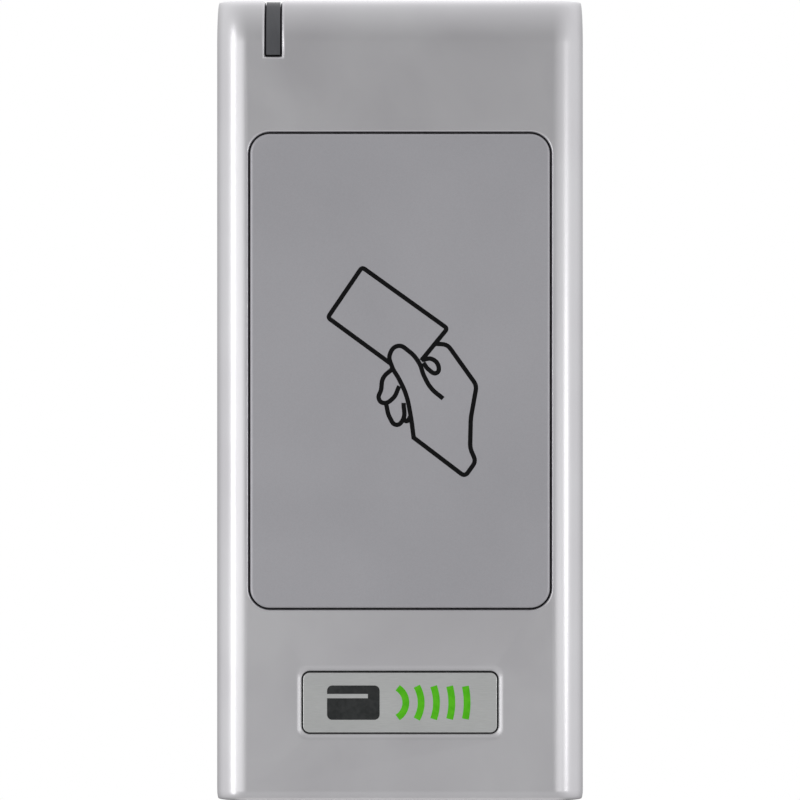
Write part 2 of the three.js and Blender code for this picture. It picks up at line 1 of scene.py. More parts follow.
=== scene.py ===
# %% [markdown]
# # A card reader for a door
# This lesson dresses a slim metal card reader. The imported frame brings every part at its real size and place:
# a cast housing with a card window, a badge and a light bar, and behind it a wall plate, a board and a cover.
# Blender adds what the eye looks for: soft cast edges, printed ink, satin metal, paint, rubber and foil.
# Everything is in metres, +Z is up, and the reader faces -Y with the wall at y = 0.

# %% Load the frame
import json
import math
import bmesh
import bpy
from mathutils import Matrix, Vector


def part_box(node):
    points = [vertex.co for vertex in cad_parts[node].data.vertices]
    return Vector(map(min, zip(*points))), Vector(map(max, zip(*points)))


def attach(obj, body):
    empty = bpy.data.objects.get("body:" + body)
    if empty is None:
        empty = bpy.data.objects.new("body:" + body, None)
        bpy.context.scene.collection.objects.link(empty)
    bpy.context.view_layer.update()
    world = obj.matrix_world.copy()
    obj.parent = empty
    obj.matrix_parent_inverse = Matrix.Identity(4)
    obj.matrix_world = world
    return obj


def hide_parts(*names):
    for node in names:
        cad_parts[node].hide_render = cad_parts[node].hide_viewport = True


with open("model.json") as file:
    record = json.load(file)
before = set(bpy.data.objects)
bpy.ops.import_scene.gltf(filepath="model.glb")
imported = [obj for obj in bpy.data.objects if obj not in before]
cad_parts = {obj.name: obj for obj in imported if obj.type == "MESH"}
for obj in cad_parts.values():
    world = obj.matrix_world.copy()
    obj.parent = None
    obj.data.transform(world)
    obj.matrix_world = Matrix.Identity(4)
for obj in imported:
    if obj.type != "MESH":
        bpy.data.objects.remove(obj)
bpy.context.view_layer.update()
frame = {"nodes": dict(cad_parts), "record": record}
MM = 0.001

# %% [markdown]
# ## The view
# The reader is seen square on, through a long lens, so that its sides and top stay out of sight. The camera
# stands where the housing fills the picture from edge to edge, which leaves a hair of white round it.

# %% Camera
LENS = 200  # millimetres, on a 36 mm sensor
SENSOR = 36
PICTURE_OVER_HOUSING = 1.0037  # the picture's height over the housing's

housing_low, housing_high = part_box("front_housing")
housing_height = housing_high.z - housing_low.z
widest_y = housing_low.y + 4 * MM  # where the round sides end
camera_distance = PICTURE_OVER_HOUSING * housing_height * LENS / SENSOR

bpy.ops.object.camera_add(
    location=(0, widest_y - camera_distance, (housing_low.z + housing_high.z) / 2),
    rotation=(math.radians(90), 0, 0),
)
camera = bpy.context.object
camera.data.lens = LENS
camera.data.sensor_width = SENSOR
camera.data.clip_start = 10 * MM
camera.data.clip_end = 10
bpy.context.scene.camera = camera
print(f"camera {camera_distance:.3f} m in front of the housing")

# %% [markdown]
# ## The studio
# Satin metal shows what stands round it. A narrow lamp at each side makes the bright line that runs down a
# round edge, and a wide one beside it fades that line out towards the front. Everything else that the metal
# mirrors is the room: quiet grey behind the camera, brighter to the sides, and brightest above, which lights
# the top edge. A pale disc far below is the floor of a thing that hangs on a wall.

# %% Lamps
def add_lamp(name, place, size, power):
    """Adds an area lamp at a place in metres, of that width and height, that faces the reader."""
    bpy.ops.object.light_add(type="AREA", location=place)
    lamp = bpy.context.object
    lamp.name = name
    lamp.data.shape = "RECTANGLE"
    lamp.data.size, lamp.data.size_y = size
    lamp.data.energy = power
    lamp.rotation_mode = "QUATERNION"
    lamp.rotation_quaternion = (-Vector(place)).to_track_quat("-Z", "Y")
    return lamp


add_lamp("lamp_left", (-0.45, -0.30, -0.02), (0.09, 0.5), 0.34)
add_lamp("lamp_left_soft", (-0.28, -0.47, 0.0), (0.26, 0.24), 0.14)
add_lamp("lamp_right", (0.43, -0.31, -0.025), (0.05, 0.10), 0.105)
add_lamp("lamp_right_soft", (0.26, -0.48, -0.06), (0.22, 0.10), 0.06)

# %% [markdown]
# The room and every finish are trees of nodes. They could be wired by hand, one link at a time, but a node is
# easier to read as a formula, so these helpers add one node each and hand back what comes out of it.

# %% Node helpers
def add_node(tree, kind, settings=None, **inputs):
    """Adds a node. An input is linked if it gets a socket and set if it gets a value; i0 is input 0."""
    node = tree.nodes.new(kind)
    for name, value in (settings or {}).items():
        setattr(node, name, value)
    for name, value in inputs.items():
        numbered = name[0] == "i" and name[1:].isdigit()
        socket = node.inputs[int(name[1:])] if numbered else node.inputs[name.replace("_", " ")]
        if isinstance(value, bpy.types.NodeSocket):
            tree.links.new(value, socket)
        else:
            socket.default_value = value
    return node


def calculate(tree, operation, *values):
    """A Math node's result."""
    inputs = {f"i{i}": value for i, value in enumerate(values)}
    return add_node(tree, "ShaderNodeMath", {"operation": operation}, **inputs).outputs[0]


def remap(tree, value, low, high, to_low=0.0, to_high=1.0):
    """Stretches the range from low to high over the range from to_low to to_high."""
    limits = dict(From_Min=low, From_Max=high, To_Min=to_low, To_Max=to_high)
    return add_node(tree, "ShaderNodeMapRange", Value=value, **limits).outputs["Result"]


def blend_colors(tree, mask, first, second):
    """The first colour where the mask is 0, the second where it is 1."""
    colors = [color if isinstance(color, bpy.types.NodeSocket) else (*color, 1) for color in (first, second)]
    node = add_node(tree, "ShaderNodeMix", {"data_type": "RGBA"}, i0=mask, i6=colors[0], i7=colors[1])
    return node.outputs[2]


# %% [markdown]
# The room could be modelled with walls and lamps. A world that changes with the direction does the same with
# less: one ramp runs from the front of the room round its sides to its back, and two more do so above and
# below. The camera itself sees plain white.

# %% Room
# Brightness from the front of the room, at 0, round to its back, at 1
ROOM_SIDE = [(0.0, 0.36), (0.05, 0.56), (0.3, 0.82), (0.65, 0.82), (1.0, 0.42)]
ROOM_UP = [
    (0.0, 0.31), (0.05, 0.48), (0.14, 0.58), (0.33, 0.70),
    (0.5, 0.80), (0.62, 0.98), (0.85, 1.2), (1.0, 1.3),
]
ROOM_DOWN = [(0.0, 0.57), (0.05, 0.58), (0.2, 0.52), (0.45, 0.36), (0.7, 0.14), (1.0, 0.08)]


def brightness(tree, value, stops):
    """A ramp through (position, brightness) stops."""
    node = add_node(tree, "ShaderNodeValToRGB", Fac=value)
    ramp = node.color_ramp
    ramp.elements.remove(ramp.elements[1])
    for i, (position, level) in enumerate(stops):
        stop = ramp.elements[0] if i == 0 else ramp.elements.new(position)
        stop.position = position
        stop.color = (level, level, level * 1.01, 1)
    return node.outputs["Color"]


def make_room():
    """A world that is white to the camera, and to the metal a grey room, lightest at its sides and above."""
    world = bpy.data.worlds.new("room")
    bpy.context.scene.world = world
    world.use_nodes = True
    tree = world.node_tree
    tree.nodes.clear()
    direction = tree.nodes.new("ShaderNodeTexCoord").outputs["Generated"]
    axes = add_node(tree, "ShaderNodeSeparateXYZ", Vector=direction).outputs
    backward = remap(tree, axes["Y"], -1.0, 1.0)
    up_squared = calculate(tree, "MULTIPLY", axes["Z"], axes["Z"])
    side_squared = calculate(tree, "MULTIPLY", axes["X"], axes["X"])
    both = calculate(tree, "MAXIMUM", calculate(tree, "ADD", up_squared, side_squared), 1e-6)
    upright = calculate(tree, "DIVIDE", up_squared, both)
    above = calculate(tree, "GREATER_THAN", axes["Z"], 0.0)
    side, up, down = (brightness(tree, backward, stops) for stops in (ROOM_SIDE, ROOM_UP, ROOM_DOWN))
    grey = blend_colors(tree, upright, side, blend_colors(tree, above, down, up))
    room = add_node(tree, "ShaderNodeBackground", Color=grey)
    white = add_node(tree, "ShaderNodeBackground", Color=(1, 1, 1, 1))
    seen = tree.nodes.new("ShaderNodeLightPath").outputs["Is Camera Ray"]
    choice = add_node(tree, "ShaderNodeMixShader", Fac=seen, i1=room.outputs[0], i2=white.outputs[0])
    add_node(tree, "ShaderNodeOutputWorld", Surface=choice.outputs[0])


make_room()
bpy.context.scene.view_settings.view_transform = "Standard"
print("room: from", ROOM_SIDE[0][1], "in front to", ROOM_UP[-1][1], "above and behind")

# %% [markdown]
# The floor has no work to do in the front view. It gives the views from the side something to stand over.

# %% Floor
FLOOR_Z = -0.6
FLOOR_RADIUS = 0.3

bpy.ops.mesh.primitive_circle_add(
    vertices=96, radius=FLOOR_RADIUS, fill_type="NGON", location=(0, 0, FLOOR_Z)
)
floor = bpy.context.object
floor.name = "floor"
print("floor disc at", FLOOR_Z, "m")

# %% [markdown]
# ## The bench tools
# Every piece is worked as by hand: add a primitive, pick edges or faces by where they lie, bevel or extrude
# them, cut holes with a modifier, and smooth what is round. These few helpers hold the steps that come again
# and again. Each starts by clearing the selection, because an operator acts on all of it.

# %% Selecting
NEAR = 0.01 * MM  # corners closer than this count as being in one place
SHARP_ANGLE = math.radians(40)


def only(piece):
    """Leaves this piece as the one that is selected and active, in object mode."""
    if bpy.context.object and bpy.context.object.mode != "OBJECT":
        bpy.ops.object.mode_set(mode="OBJECT")
    bpy.ops.object.select_all(action="DESELECT")
    piece.select_set(True)
    bpy.context.view_layer.objects.active = piece


def pick(piece, kind, test):
    """Goes into edit mode and selects the parts, of kind "EDGE" or "FACE", that pass the test."""
    only(piece)
    bpy.ops.object.mode_set(mode="EDIT")
    bpy.ops.mesh.select_mode(type=kind)
    bpy.ops.mesh.select_all(action="DESELECT")
    mesh = bmesh.from_edit_mesh(piece.data)
    for part in mesh.edges if kind == "EDGE" else mesh.faces:
        part.select_set(bool(test(part)))
    bmesh.update_edit_mesh(piece.data)


def extrude(move):
    """Extrudes what is selected by a move."""
    bpy.ops.mesh.extrude_region_move(TRANSFORM_OT_translate={"value": move})


def runs_along(axis):
    """A test for edges that are parallel to an axis, 0, 1 or 2."""
    def test(edge):
        way = edge.verts[1].co - edge.verts[0].co
        return abs(way[axis]) > 0.999 * way.length
    return test


def lies_at(axis, level):
    """A test for edges or faces whose corners all lie at one level of an axis."""
    return lambda part: all(abs(v.co[axis] - level) < NEAR for v in part.verts)


def sharp(edge):
    return len(edge.link_faces) == 2 and edge.calc_face_angle(0) > SHARP_ANGLE


def span(piece):
    """The lowest and the highest corner of a piece."""
    corners = [v.co for v in piece.data.vertices]
    return (
        Vector(min(c[i] for c in corners) for i in range(3)),
        Vector(max(c[i] for c in corners) for i in range(3)),
    )


# %% [markdown]
# Three shapes start nearly every piece: a box, a plate with round corners and a round bar. Each is scaled at
# once and then applied, so that its object stays at the origin and its place lies in its mesh.

# %% Primitives
def add_block(name, low, high):
    """A box between two corners, with its object at the origin."""
    low, high = Vector(low), Vector(high)
    bpy.ops.mesh.primitive_cube_add(size=1, location=(low + high) / 2, scale=high - low)
    piece = bpy.context.object
    piece.name = name
    only(piece)
    bpy.ops.object.transform_apply(location=True, rotation=True, scale=True)
    return piece


def bevel_edges(piece, test, width, segments=3):
    """Rounds the edges that pass the test."""
    pick(piece, "EDGE", test)
    bpy.ops.mesh.bevel(offset=width, segments=segments, profile=0.5, affect="EDGES")
    bpy.ops.object.mode_set(mode="OBJECT")


def add_plate(name, low, high, radius, segments=10):
    """A plate that faces along Y, with its four corners rounded."""
    piece = add_block(name, low, high)
    bevel_edges(piece, runs_along(1), radius, segments)
    return piece


def add_rod(name, radius, low, high, axis=1, sides=48):
    """A round bar along an axis, between the middles of its two ends."""
    low, high = Vector(low), Vector(high)
    turn = {0: (0, math.pi / 2, 0), 1: (math.pi / 2, 0, 0), 2: (0, 0, 0)}[axis]
    bpy.ops.mesh.primitive_cylinder_add(
        vertices=sides, radius=radius, depth=(high - low).length,
        location=(low + high) / 2, rotation=turn,
    )
    piece = bpy.context.object
    piece.name = name
    only(piece)
    bpy.ops.object.transform_apply(location=True, rotation=True, scale=True)
    return piece

# %% [markdown]
# What is round about an axis is an outline that is spun, and what is folded is an outline that is extruded.
# Either way the outline starts as a plane merged to one corner, from which the next corners are extruded.

# %% Outlines and turned pieces
def start_outline(name, places):
    """Draws a line through the places, from a plane merged to one corner. It stays selected, in edit mode."""
    bpy.ops.object.select_all(action="DESELECT")
    bpy.ops.mesh.primitive_plane_add(size=MM)
    piece = bpy.context.object
    piece.name = name
    only(piece)
    bpy.ops.object.mode_set(mode="EDIT")
    bpy.ops.mesh.select_mode(type="VERT")
    bpy.ops.mesh.select_all(action="SELECT")
    bpy.ops.mesh.merge(type="CENTER")
    bpy.ops.transform.translate(value=places[0])
    for here, there in zip(places, places[1:]):
        bpy.ops.mesh.extrude_vertices_move(TRANSFORM_OT_translate={"value": there - here})
    bpy.ops.mesh.select_all(action="SELECT")
    return piece


def add_turned(name, profile, centre, steps, axis=1):
    """Spins (radius, height) pairs, in millimetres, round axis 1 or 2 through a centre in metres."""
    flat = [(radius, height, 0) if axis == 1 else (radius, 0, height) for radius, height in profile]
    piece = start_outline(name, [Vector(place) * MM for place in flat])
    spin_axis = (0, 1, 0) if axis == 1 else (0, 0, 1)
    bpy.ops.mesh.spin(steps=steps, angle=2 * math.pi, center=(0, 0, 0), axis=spin_axis)
    bpy.ops.mesh.select_all(action="SELECT")
    bpy.ops.mesh.remove_doubles(threshold=0.001 * MM)
    bpy.ops.mesh.normals_make_consistent(inside=False)
    bpy.ops.transform.translate(value=Vector(centre))
    bpy.ops.object.mode_set(mode="OBJECT")
    return piece


# %% [markdown]
# A cut or a join is a boolean modifier, applied at once, with the exact solver because many faces here lie in
# one plane. Round stretches are then shaded smooth, and flat faces keep their own normals.

# %% Cutting, joining and smoothing
def carve(piece, cutter, operation="DIFFERENCE"):
    """Cuts the cutter out of a piece, or joins the two, and throws the cutter away."""
    only(piece)
    tool = piece.modifiers.new("carve", "BOOLEAN")
    tool.operation = operation
    tool.solver = "EXACT"
    tool.object = cutter
    bpy.ops.object.modifier_apply(modifier=tool.name)
    bpy.data.objects.remove(cutter)


def soften(piece, width, segments=2):
    """Breaks every sharp edge of a simple piece with a bevel modifier."""
    only(piece)
    tool = piece.modifiers.new("soften", "BEVEL")
    tool.width = width
    tool.segments = segments
    tool.limit_method = "ANGLE"
    tool.angle_limit = SHARP_ANGLE
    tool.miter_outer = "MITER_ARC"
    bpy.ops.object.modifier_apply(modifier=tool.name)


def smooth(piece, angle=32):
    """Shades round stretches smooth and keeps flat faces flat."""
    only(piece)
    bpy.ops.object.shade_smooth_by_angle(angle=math.radians(angle))
    tool = piece.modifiers.new("flat_faces", "WEIGHTED_NORMAL")
    tool.keep_sharp = True
    bpy.ops.object.modifier_apply(modifier=tool.name)
    print(f"{piece.name}: {len(piece.data.polygons)} faces")


# %% [markdown]
# Each new piece says which node of the frame it stands for. It moves with that node's body, hides the node and
# takes over its material slot.

# %% Places in the record
behaviour = frame["record"]["behaviour"]
body_of_node = {node: body for body, names in behaviour["bodies"].items() for node in names}
slot_of_node = {row["node"]: row["material_slot"] for row in frame["record"]["subparts"]}


stand_ins = []  # each new piece with the node that it stands for


def stand_for(piece, node):
    """The piece takes a CAD node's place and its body."""
    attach(piece, body_of_node[node])
    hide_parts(node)
    stand_ins.append((piece, node))


# %% [markdown]
# ## The housing
# The real one is a zinc casting, satin plated. Its long front edges are round, and its top edge curls over in
# a softer bow. A box with two bevelled edges gives the long rounds. The bows at the top and the bottom come
# from extruding the end faces in small steps, each a little narrower, which keeps the mesh in clean rings.

# %% Outer form of the housing
SIDE_ROUND = 4.4 * MM
RIM_ROUND = 0.25 * MM
END_STEPS = 12
TOP_BOW = dict(width=0.25 * MM, depth=3.0 * MM, height=6.0 * MM)
LOW_BOW = dict(width=0.2 * MM, depth=0.8 * MM, height=1.4 * MM)
front_y = housing_low.y
rear_y = housing_high.y - RIM_ROUND  # where the rim's small round starts
top_level = housing_high.z - TOP_BOW["height"]
low_level = housing_low.z + LOW_BOW["height"]


def bow_end(piece, level, way, width, depth, height):
    """Extrudes an end face in a quarter bow, which narrows each side by width and the front by depth."""
    low, high = span(piece)
    pick(piece, "FACE", lies_at(2, level))
    half, reach = (high.x - low.x) / 2, high.y - low.y
    pivot = ((low.x + high.x) / 2, high.y, 0)
    before = (half, reach, 0.0)
    for step in range(1, END_STEPS + 1):
        angle = math.radians(90) * step / END_STEPS
        shrink = 1 - math.cos(angle)
        now = (half - width * shrink, reach - depth * shrink, height * math.sin(angle))
        extrude((0, 0, way * (now[2] - before[2])))
        bpy.ops.transform.resize(value=(now[0] / before[0], now[1] / before[1], 1), center_override=pivot)
        before = now
    bpy.ops.object.mode_set(mode="OBJECT")


def grow_end(piece, axis, way, size, steps, length=None):
    """Extrudes one end in a quarter round that widens it by the size, or narrows it by a negative size."""
    length = length or abs(size)
    low, high = span(piece)
    level = high[axis] if way > 0 else low[axis]
    half = (high - low) / 2
    pick(piece, "FACE", lies_at(axis, level))
    grown = risen = 0.0
    for step in range(1, steps + 1):
        angle = math.radians(90) * step / steps
        rise = length * math.sin(angle)
        grow = size * (1 - math.cos(angle))
        move = Vector((0, 0, 0))
        move[axis] = way * (rise - risen)
        extrude(move)
        factor = Vector([(half[i] + grow) / (half[i] + grown) for i in range(3)])
        factor[axis] = 1
        bpy.ops.transform.resize(value=factor, center_override=(low + high) / 2)
        grown, risen = grow, rise
    bpy.ops.object.mode_set(mode="OBJECT")
    return level + way * risen


housing = add_block(
    "housing",
    (housing_low.x, front_y, low_level),
    (housing_high.x, rear_y, top_level),
)
bevel_edges(housing, lambda e: runs_along(2)(e) and lies_at(1, front_y)(e), SIDE_ROUND, segments=14)
bow_end(housing, top_level, 1, **TOP_BOW)
bow_end(housing, low_level, -1, **LOW_BOW)
grow_end(housing, 1, 1, -RIM_ROUND, 3)
print("housing form:", len(housing.data.polygons), "faces")

# %% [markdown]
# The slot for the light bar is cut first, while the form still has clean faces, so that a bevel can run round
# its mouth and over the bow at the top in one go. The plating shows it as a thin bright line.

# %% Bar slot
bar_low, bar_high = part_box("light_bar")
BAR_HALF = 0.95 * MM
BAR_GAP = 0.08 * MM
BAR_LOW_END = 47.35 * MM
SLOT_REAR = -15.4 * MM
SLOT_ROUND = 0.6 * MM
WALL = 2.2 * MM
FRONT_WALL = 2.4 * MM
FACET_SAG = 0.25 * MM  # the bow's flat facets lie less than this off the true curve
bar_x = (bar_low.x + bar_high.x) / 2
slot_left, slot_right = bar_x - BAR_HALF - BAR_GAP, bar_x + BAR_HALF + BAR_GAP
slot_low = BAR_LOW_END - BAR_GAP


def cut_bar_slot():
    """An upright cut in the front and a level one in the roof, which meet at the top edge."""
    over = housing_high.z + MM
    skin = front_y + FRONT_WALL + 0.5 * MM
    roof = housing_high.z - WALL - 0.5 * MM
    slot = add_block("slot", (slot_left, front_y - MM, slot_low), (slot_right, skin, over))
    roof_slot = add_block("slot_roof", (slot_left, front_y - MM, roof), (slot_right, SLOT_REAR, over))
    carve(slot, roof_slot, "UNION")
    carve(housing, slot)


def on_skin(vert):
    """True where a corner lies on the front face, on the bow or on the top face."""
    if vert.co.z < top_level + NEAR:
        return vert.co.y < front_y + NEAR
    rise = min(1.0, (vert.co.z - top_level) / TOP_BOW["height"])
    skin = front_y + TOP_BOW["depth"] * (1 - math.sqrt(max(0.0, 1 - rise * rise)))
    return vert.co.y < skin + FACET_SAG or vert.co.z > housing_high.z - NEAR


def at_slot(vert):
    return slot_left - NEAR < vert.co.x < slot_right + NEAR and vert.co.z > slot_low - NEAR


def slot_mouth(edge):
    """A test for the edges where the slot meets the skin."""
    return sharp(edge) and all(at_slot(vert) and on_skin(vert) for vert in edge.verts)


cut_bar_slot()
bevel_edges(housing, slot_mouth, SLOT_ROUND, 4)
print("slot:", round(1000 * (slot_right - slot_left), 2), "mm wide")

# %% [markdown]
# Everything else that the casting makes room for is cut out with plates, blocks and rods, each a running gap
# larger than what goes in. A mould leaves no knife edge, so a cutter's mouth is flared first: its end face is
# extruded in small steps that grow wider, and the hole it cuts has a round or a chamfered lip.

# %% Flared cutters
def flare(cutter, axis, way, lip, steps=4, length=None):
    """Widens one end of a cutter by the lip, in a quarter round or, with one step, in a chamfer."""
    level = grow_end(cutter, axis, way, lip, steps, length)
    pick(cutter, "FACE", lies_at(axis, level))
    move = Vector((0, 0, 0))
    move[axis] = way * MM
    extrude(move)
    bpy.ops.object.mode_set(mode="OBJECT")
    return cutter


# %% Inside of the housing
LEDGE_Y = -9.1 * MM  # the rear cover's seal lies here
ROOM_HALF, ROOM_LOW, ROOM_TOP = 21.2 * MM, -40.5 * MM, 48 * MM
GUSSET = 8 * MM
FOOT_WALL = 2.4 * MM
RECESS_ROUND = 0.8 * MM
NICHE_HALF, NICHE_BACK = 2.8 * MM, -13.4 * MM  # the light bar's flange goes in here
TOP_POCKETS = [(-7.5 * MM, 7.5 * MM), (14.5 * MM, 20.5 * MM)]
TOP_POCKET_LOW = ROOM_TOP + 2.4 * MM
FOOT_POCKET_HALF, FOOT_POCKET_TOP = 21 * MM, -42.8 * MM
inside_y = front_y + FRONT_WALL
ceiling_z = housing_high.z - WALL
ground_z = housing_low.z + FOOT_WALL


def hollow_housing():
    """The recess for the wall plate, the sealed room before it and the pockets that even out the walls."""
    side = housing_high.x - WALL
    recess = add_plate("recess", (-side, LEDGE_Y, ground_z), (side, rear_y, ceiling_z), RECESS_ROUND, 5)
    carve(housing, flare(recess, 1, 1, RIM_ROUND, 2))
    behind = LEDGE_Y + MM
    room = add_block("room", (-ROOM_HALF, inside_y, ROOM_LOW), (ROOM_HALF, behind, ROOM_TOP))
    bevel_edges(room, lambda e: runs_along(1)(e) and lies_at(2, ROOM_LOW)(e), GUSSET, segments=1)
    carve(housing, room)
    hollows = [((bar_x - NICHE_HALF, bar_x + NICHE_HALF), NICHE_BACK, (ROOM_TOP - MM, ceiling_z))]
    hollows += [(across, behind, (TOP_POCKET_LOW, ceiling_z)) for across in TOP_POCKETS]
    hollows += [((-FOOT_POCKET_HALF, FOOT_POCKET_HALF), behind, (ground_z, FOOT_POCKET_TOP))]
    for (left, right), back, (low, top) in hollows:
        carve(housing, add_block("hollow", (left, inside_y, low), (right, back, top)))


hollow_housing()
print("housing hollowed:", len(housing.data.polygons), "faces")

# %% [markdown]
# What grows out of the casting's walls is joined on, and each boss starts a little inside its wall, so that no
# gap can open between them. The holes come last, because they run through both.

# %% Bosses and holes of the housing
COLLAR_RIM, COLLAR_BACK = 3 * MM, -18.4 * MM
POST_RADIUS = 2.3 * MM
RIB_HALF, RIB_FRONT, RIB_BACK, RIB_LOW = 18 * MM, -2.4 * MM, -1 * MM, 50.4 * MM
BOSS_RADIUS, BOSS_TOP = 4.7 * MM, -47.7 * MM
RIB_EDGE, BOSS_EDGE = 0.4 * MM, 0.3 * MM
BOARD_CLEAR = 0.05 * MM  # between the posts and the board
BITE = 0.5 * MM  # how far a boss runs into the wall that it grows from
BOARD_PILOT, BOARD_PILOT_END = 1.05 * MM, -19.2 * MM
COVER_PILOT, COVER_PILOT_END = 1.3 * MM, -13.5 * MM
COUNTERBORE, COUNTERBORE_TOP = 2.9 * MM, -48.85 * MM
BORE = 1.65 * MM
panel_low, panel_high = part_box("window_panel")
board_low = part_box("main_board")[0]
lock_low, lock_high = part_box("lock_screw")
lock_x, lock_y = (lock_low.x + lock_high.x) / 2, (lock_low.y + lock_high.y) / 2
cover_screws = [f"cover_screw_{i}" for i in range(1, 5)]
board_screws = [f"board_screw_{i}" for i in range(1, 5)]


def middle(box):
    return (box[0] + box[1]) / 2


def front_places(nodes):
    """The (x, z) places of nodes that lie along Y."""
    middles = [middle(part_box(node)) for node in nodes]
    return [(at.x, at.z) for at in middles]


def add_inner_bosses():
    """The collar round the window, the board's posts, the hook rib and the lock screw's boss."""
    root = inside_y - BITE
    collar_low = (-ROOM_HALF - BITE, root, panel_low.z - COLLAR_RIM)
    collar_high = (ROOM_HALF + BITE, COLLAR_BACK, panel_high.z + COLLAR_RIM)
    carve(housing, add_block("collar", collar_low, collar_high), "UNION")
    for x, z in front_places(board_screws):
        post = add_rod("post", POST_RADIUS, (x, root, z), (x, board_low.y - BOARD_CLEAR, z), sides=32)
        carve(housing, post, "UNION")
    rib = add_block("rib", (-RIB_HALF, RIB_FRONT, RIB_LOW), (RIB_HALF, RIB_BACK, ceiling_z + BITE))
    bevel_edges(rib, lambda e: runs_along(0)(e) and lies_at(2, RIB_LOW)(e), RIB_EDGE)
    carve(housing, rib, "UNION")
    boss = add_rod("boss", BOSS_RADIUS, (lock_x, lock_y, ground_z - BITE), (lock_x, lock_y, BOSS_TOP), axis=2)
    bevel_edges(boss, lies_at(2, BOSS_TOP), BOSS_EDGE)
    carve(housing, boss, "UNION")


def drill_housing():
    """Pilot holes for the screws, and the lock screw's counterbore and clearance hole."""
    for nodes, radius, end, start in (
        (board_screws, BOARD_PILOT, BOARD_PILOT_END, board_low.y),
        (cover_screws, COVER_PILOT, COVER_PILOT_END, LEDGE_Y + MM),
    ):
        for x, z in front_places(nodes):
            carve(housing, add_rod("pilot", radius, (x, end, z), (x, start, z), sides=24))
    mouth = (lock_x, lock_y, housing_low.z + RIM_ROUND)
    counterbore = add_rod("counterbore", COUNTERBORE, mouth, (lock_x, lock_y, COUNTERBORE_TOP), axis=2)
    carve(housing, flare(counterbore, 2, -1, RIM_ROUND, 3))
    carve(housing, add_rod("bore", BORE, mouth, (lock_x, lock_y, BOSS_TOP + MM), axis=2))


add_inner_bosses()
drill_housing()
print("housing drilled:", len(housing.data.polygons), "faces")

# %% [markdown]
# Last come the two shallow places in the front face: the window's pocket, with a ledge for the seal and an
# opening that the antenna looks through, and the recess that the badge is stuck into.

# %% Window pocket and badge recess
seal_low, seal_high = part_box("window_seal")
badge_low, badge_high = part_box("badge_plate")
pad_low, pad_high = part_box("badge_adhesive")
PANEL_GAP = 0.23 * MM
POCKET_ROUND = 3 * MM
MOUTH_ROUND = 0.28 * MM
LEDGE = 2.25 * MM
SEAL_CLEAR, PAD_CLEAR = 0.05 * MM, 0.04 * MM  # behind the window's seal and behind the badge's pad
BADGE_GAP = 0.25 * MM
BADGE_ROUND = 0.9 * MM
BADGE_CHAMFER = 0.8 * MM
BADGE_SINK = 0.43 * MM  # the chamfer's depth


def cut_pocket():
    left, right = panel_low.x - PANEL_GAP, panel_high.x + PANEL_GAP
    low, top = panel_low.z - PANEL_GAP, panel_high.z + PANEL_GAP
    floor_y = seal_high.y + SEAL_CLEAR
    pocket = add_plate("pocket", (left, front_y + MOUTH_ROUND, low), (right, floor_y, top), POCKET_ROUND)
    carve(housing, flare(pocket, 1, -1, MOUTH_ROUND))
    opening = add_plate(
        "opening",
        (left + LEDGE, front_y + MM, low + LEDGE),
        (right - LEDGE, front_y + 2 * FRONT_WALL, top - LEDGE),
        POCKET_ROUND - MM,
    )
    carve(housing, opening)


def cut_badge_recess():
    low = (badge_low.x - BADGE_GAP, front_y + BADGE_SINK, badge_low.z - BADGE_GAP)
    high = (badge_high.x + BADGE_GAP, pad_high.y + PAD_CLEAR, badge_high.z + BADGE_GAP)
    recess = add_plate("recess", low, high, BADGE_ROUND + BADGE_GAP, 6)
    carve(housing, flare(recess, 1, -1, BADGE_CHAMFER, 1, BADGE_SINK))


cut_pocket()
cut_badge_recess()
smooth(housing)
stand_for(housing, "front_housing")

# %% [markdown]
# ## The card window
# A flat plastic plate, sprayed silver, that sits in the pocket and stands a little proud. Its front edge is
# broken by a soft bevel that catches the light all round. The picture on it is screen printed: ink has a real
# thickness, so each line is a curve with a round section, made a mesh and pressed nearly flat on the plate.

# %% Window panel
PANEL_ROUND = 2.7 * MM
PANEL_BEVEL = 0.4 * MM
INK = 0.05 * MM  # how far ink stands off what it is printed on

panel_face = panel_low.y + INK
window = add_plate("card_window", (panel_low.x, panel_face, panel_low.z), panel_high, PANEL_ROUND, 12)
bevel_edges(window, lies_at(1, panel_face), PANEL_BEVEL, 4)
smooth(window)
stand_for(window, "window_panel")

# %% Printed lines
def turn(before, here, after, radius):
    """Six points on a smooth turn, in place of a sharp corner."""
    here = Vector(here)
    back = (Vector(before) - here).normalized() * radius
    onward = (Vector(after) - here).normalized() * radius
    return [here + back * (1 - step / 5) ** 2 + onward * (step / 5) ** 2 for step in range(6)]


def turn_corners(points, radius):
    """A line with each of its inner corners turned."""
    path = [Vector(points[0])]
    for before, here, after in zip(points, points[1:], points[2:]):
        path += turn(before, here, after, radius)
    return path + [Vector(points[-1])]


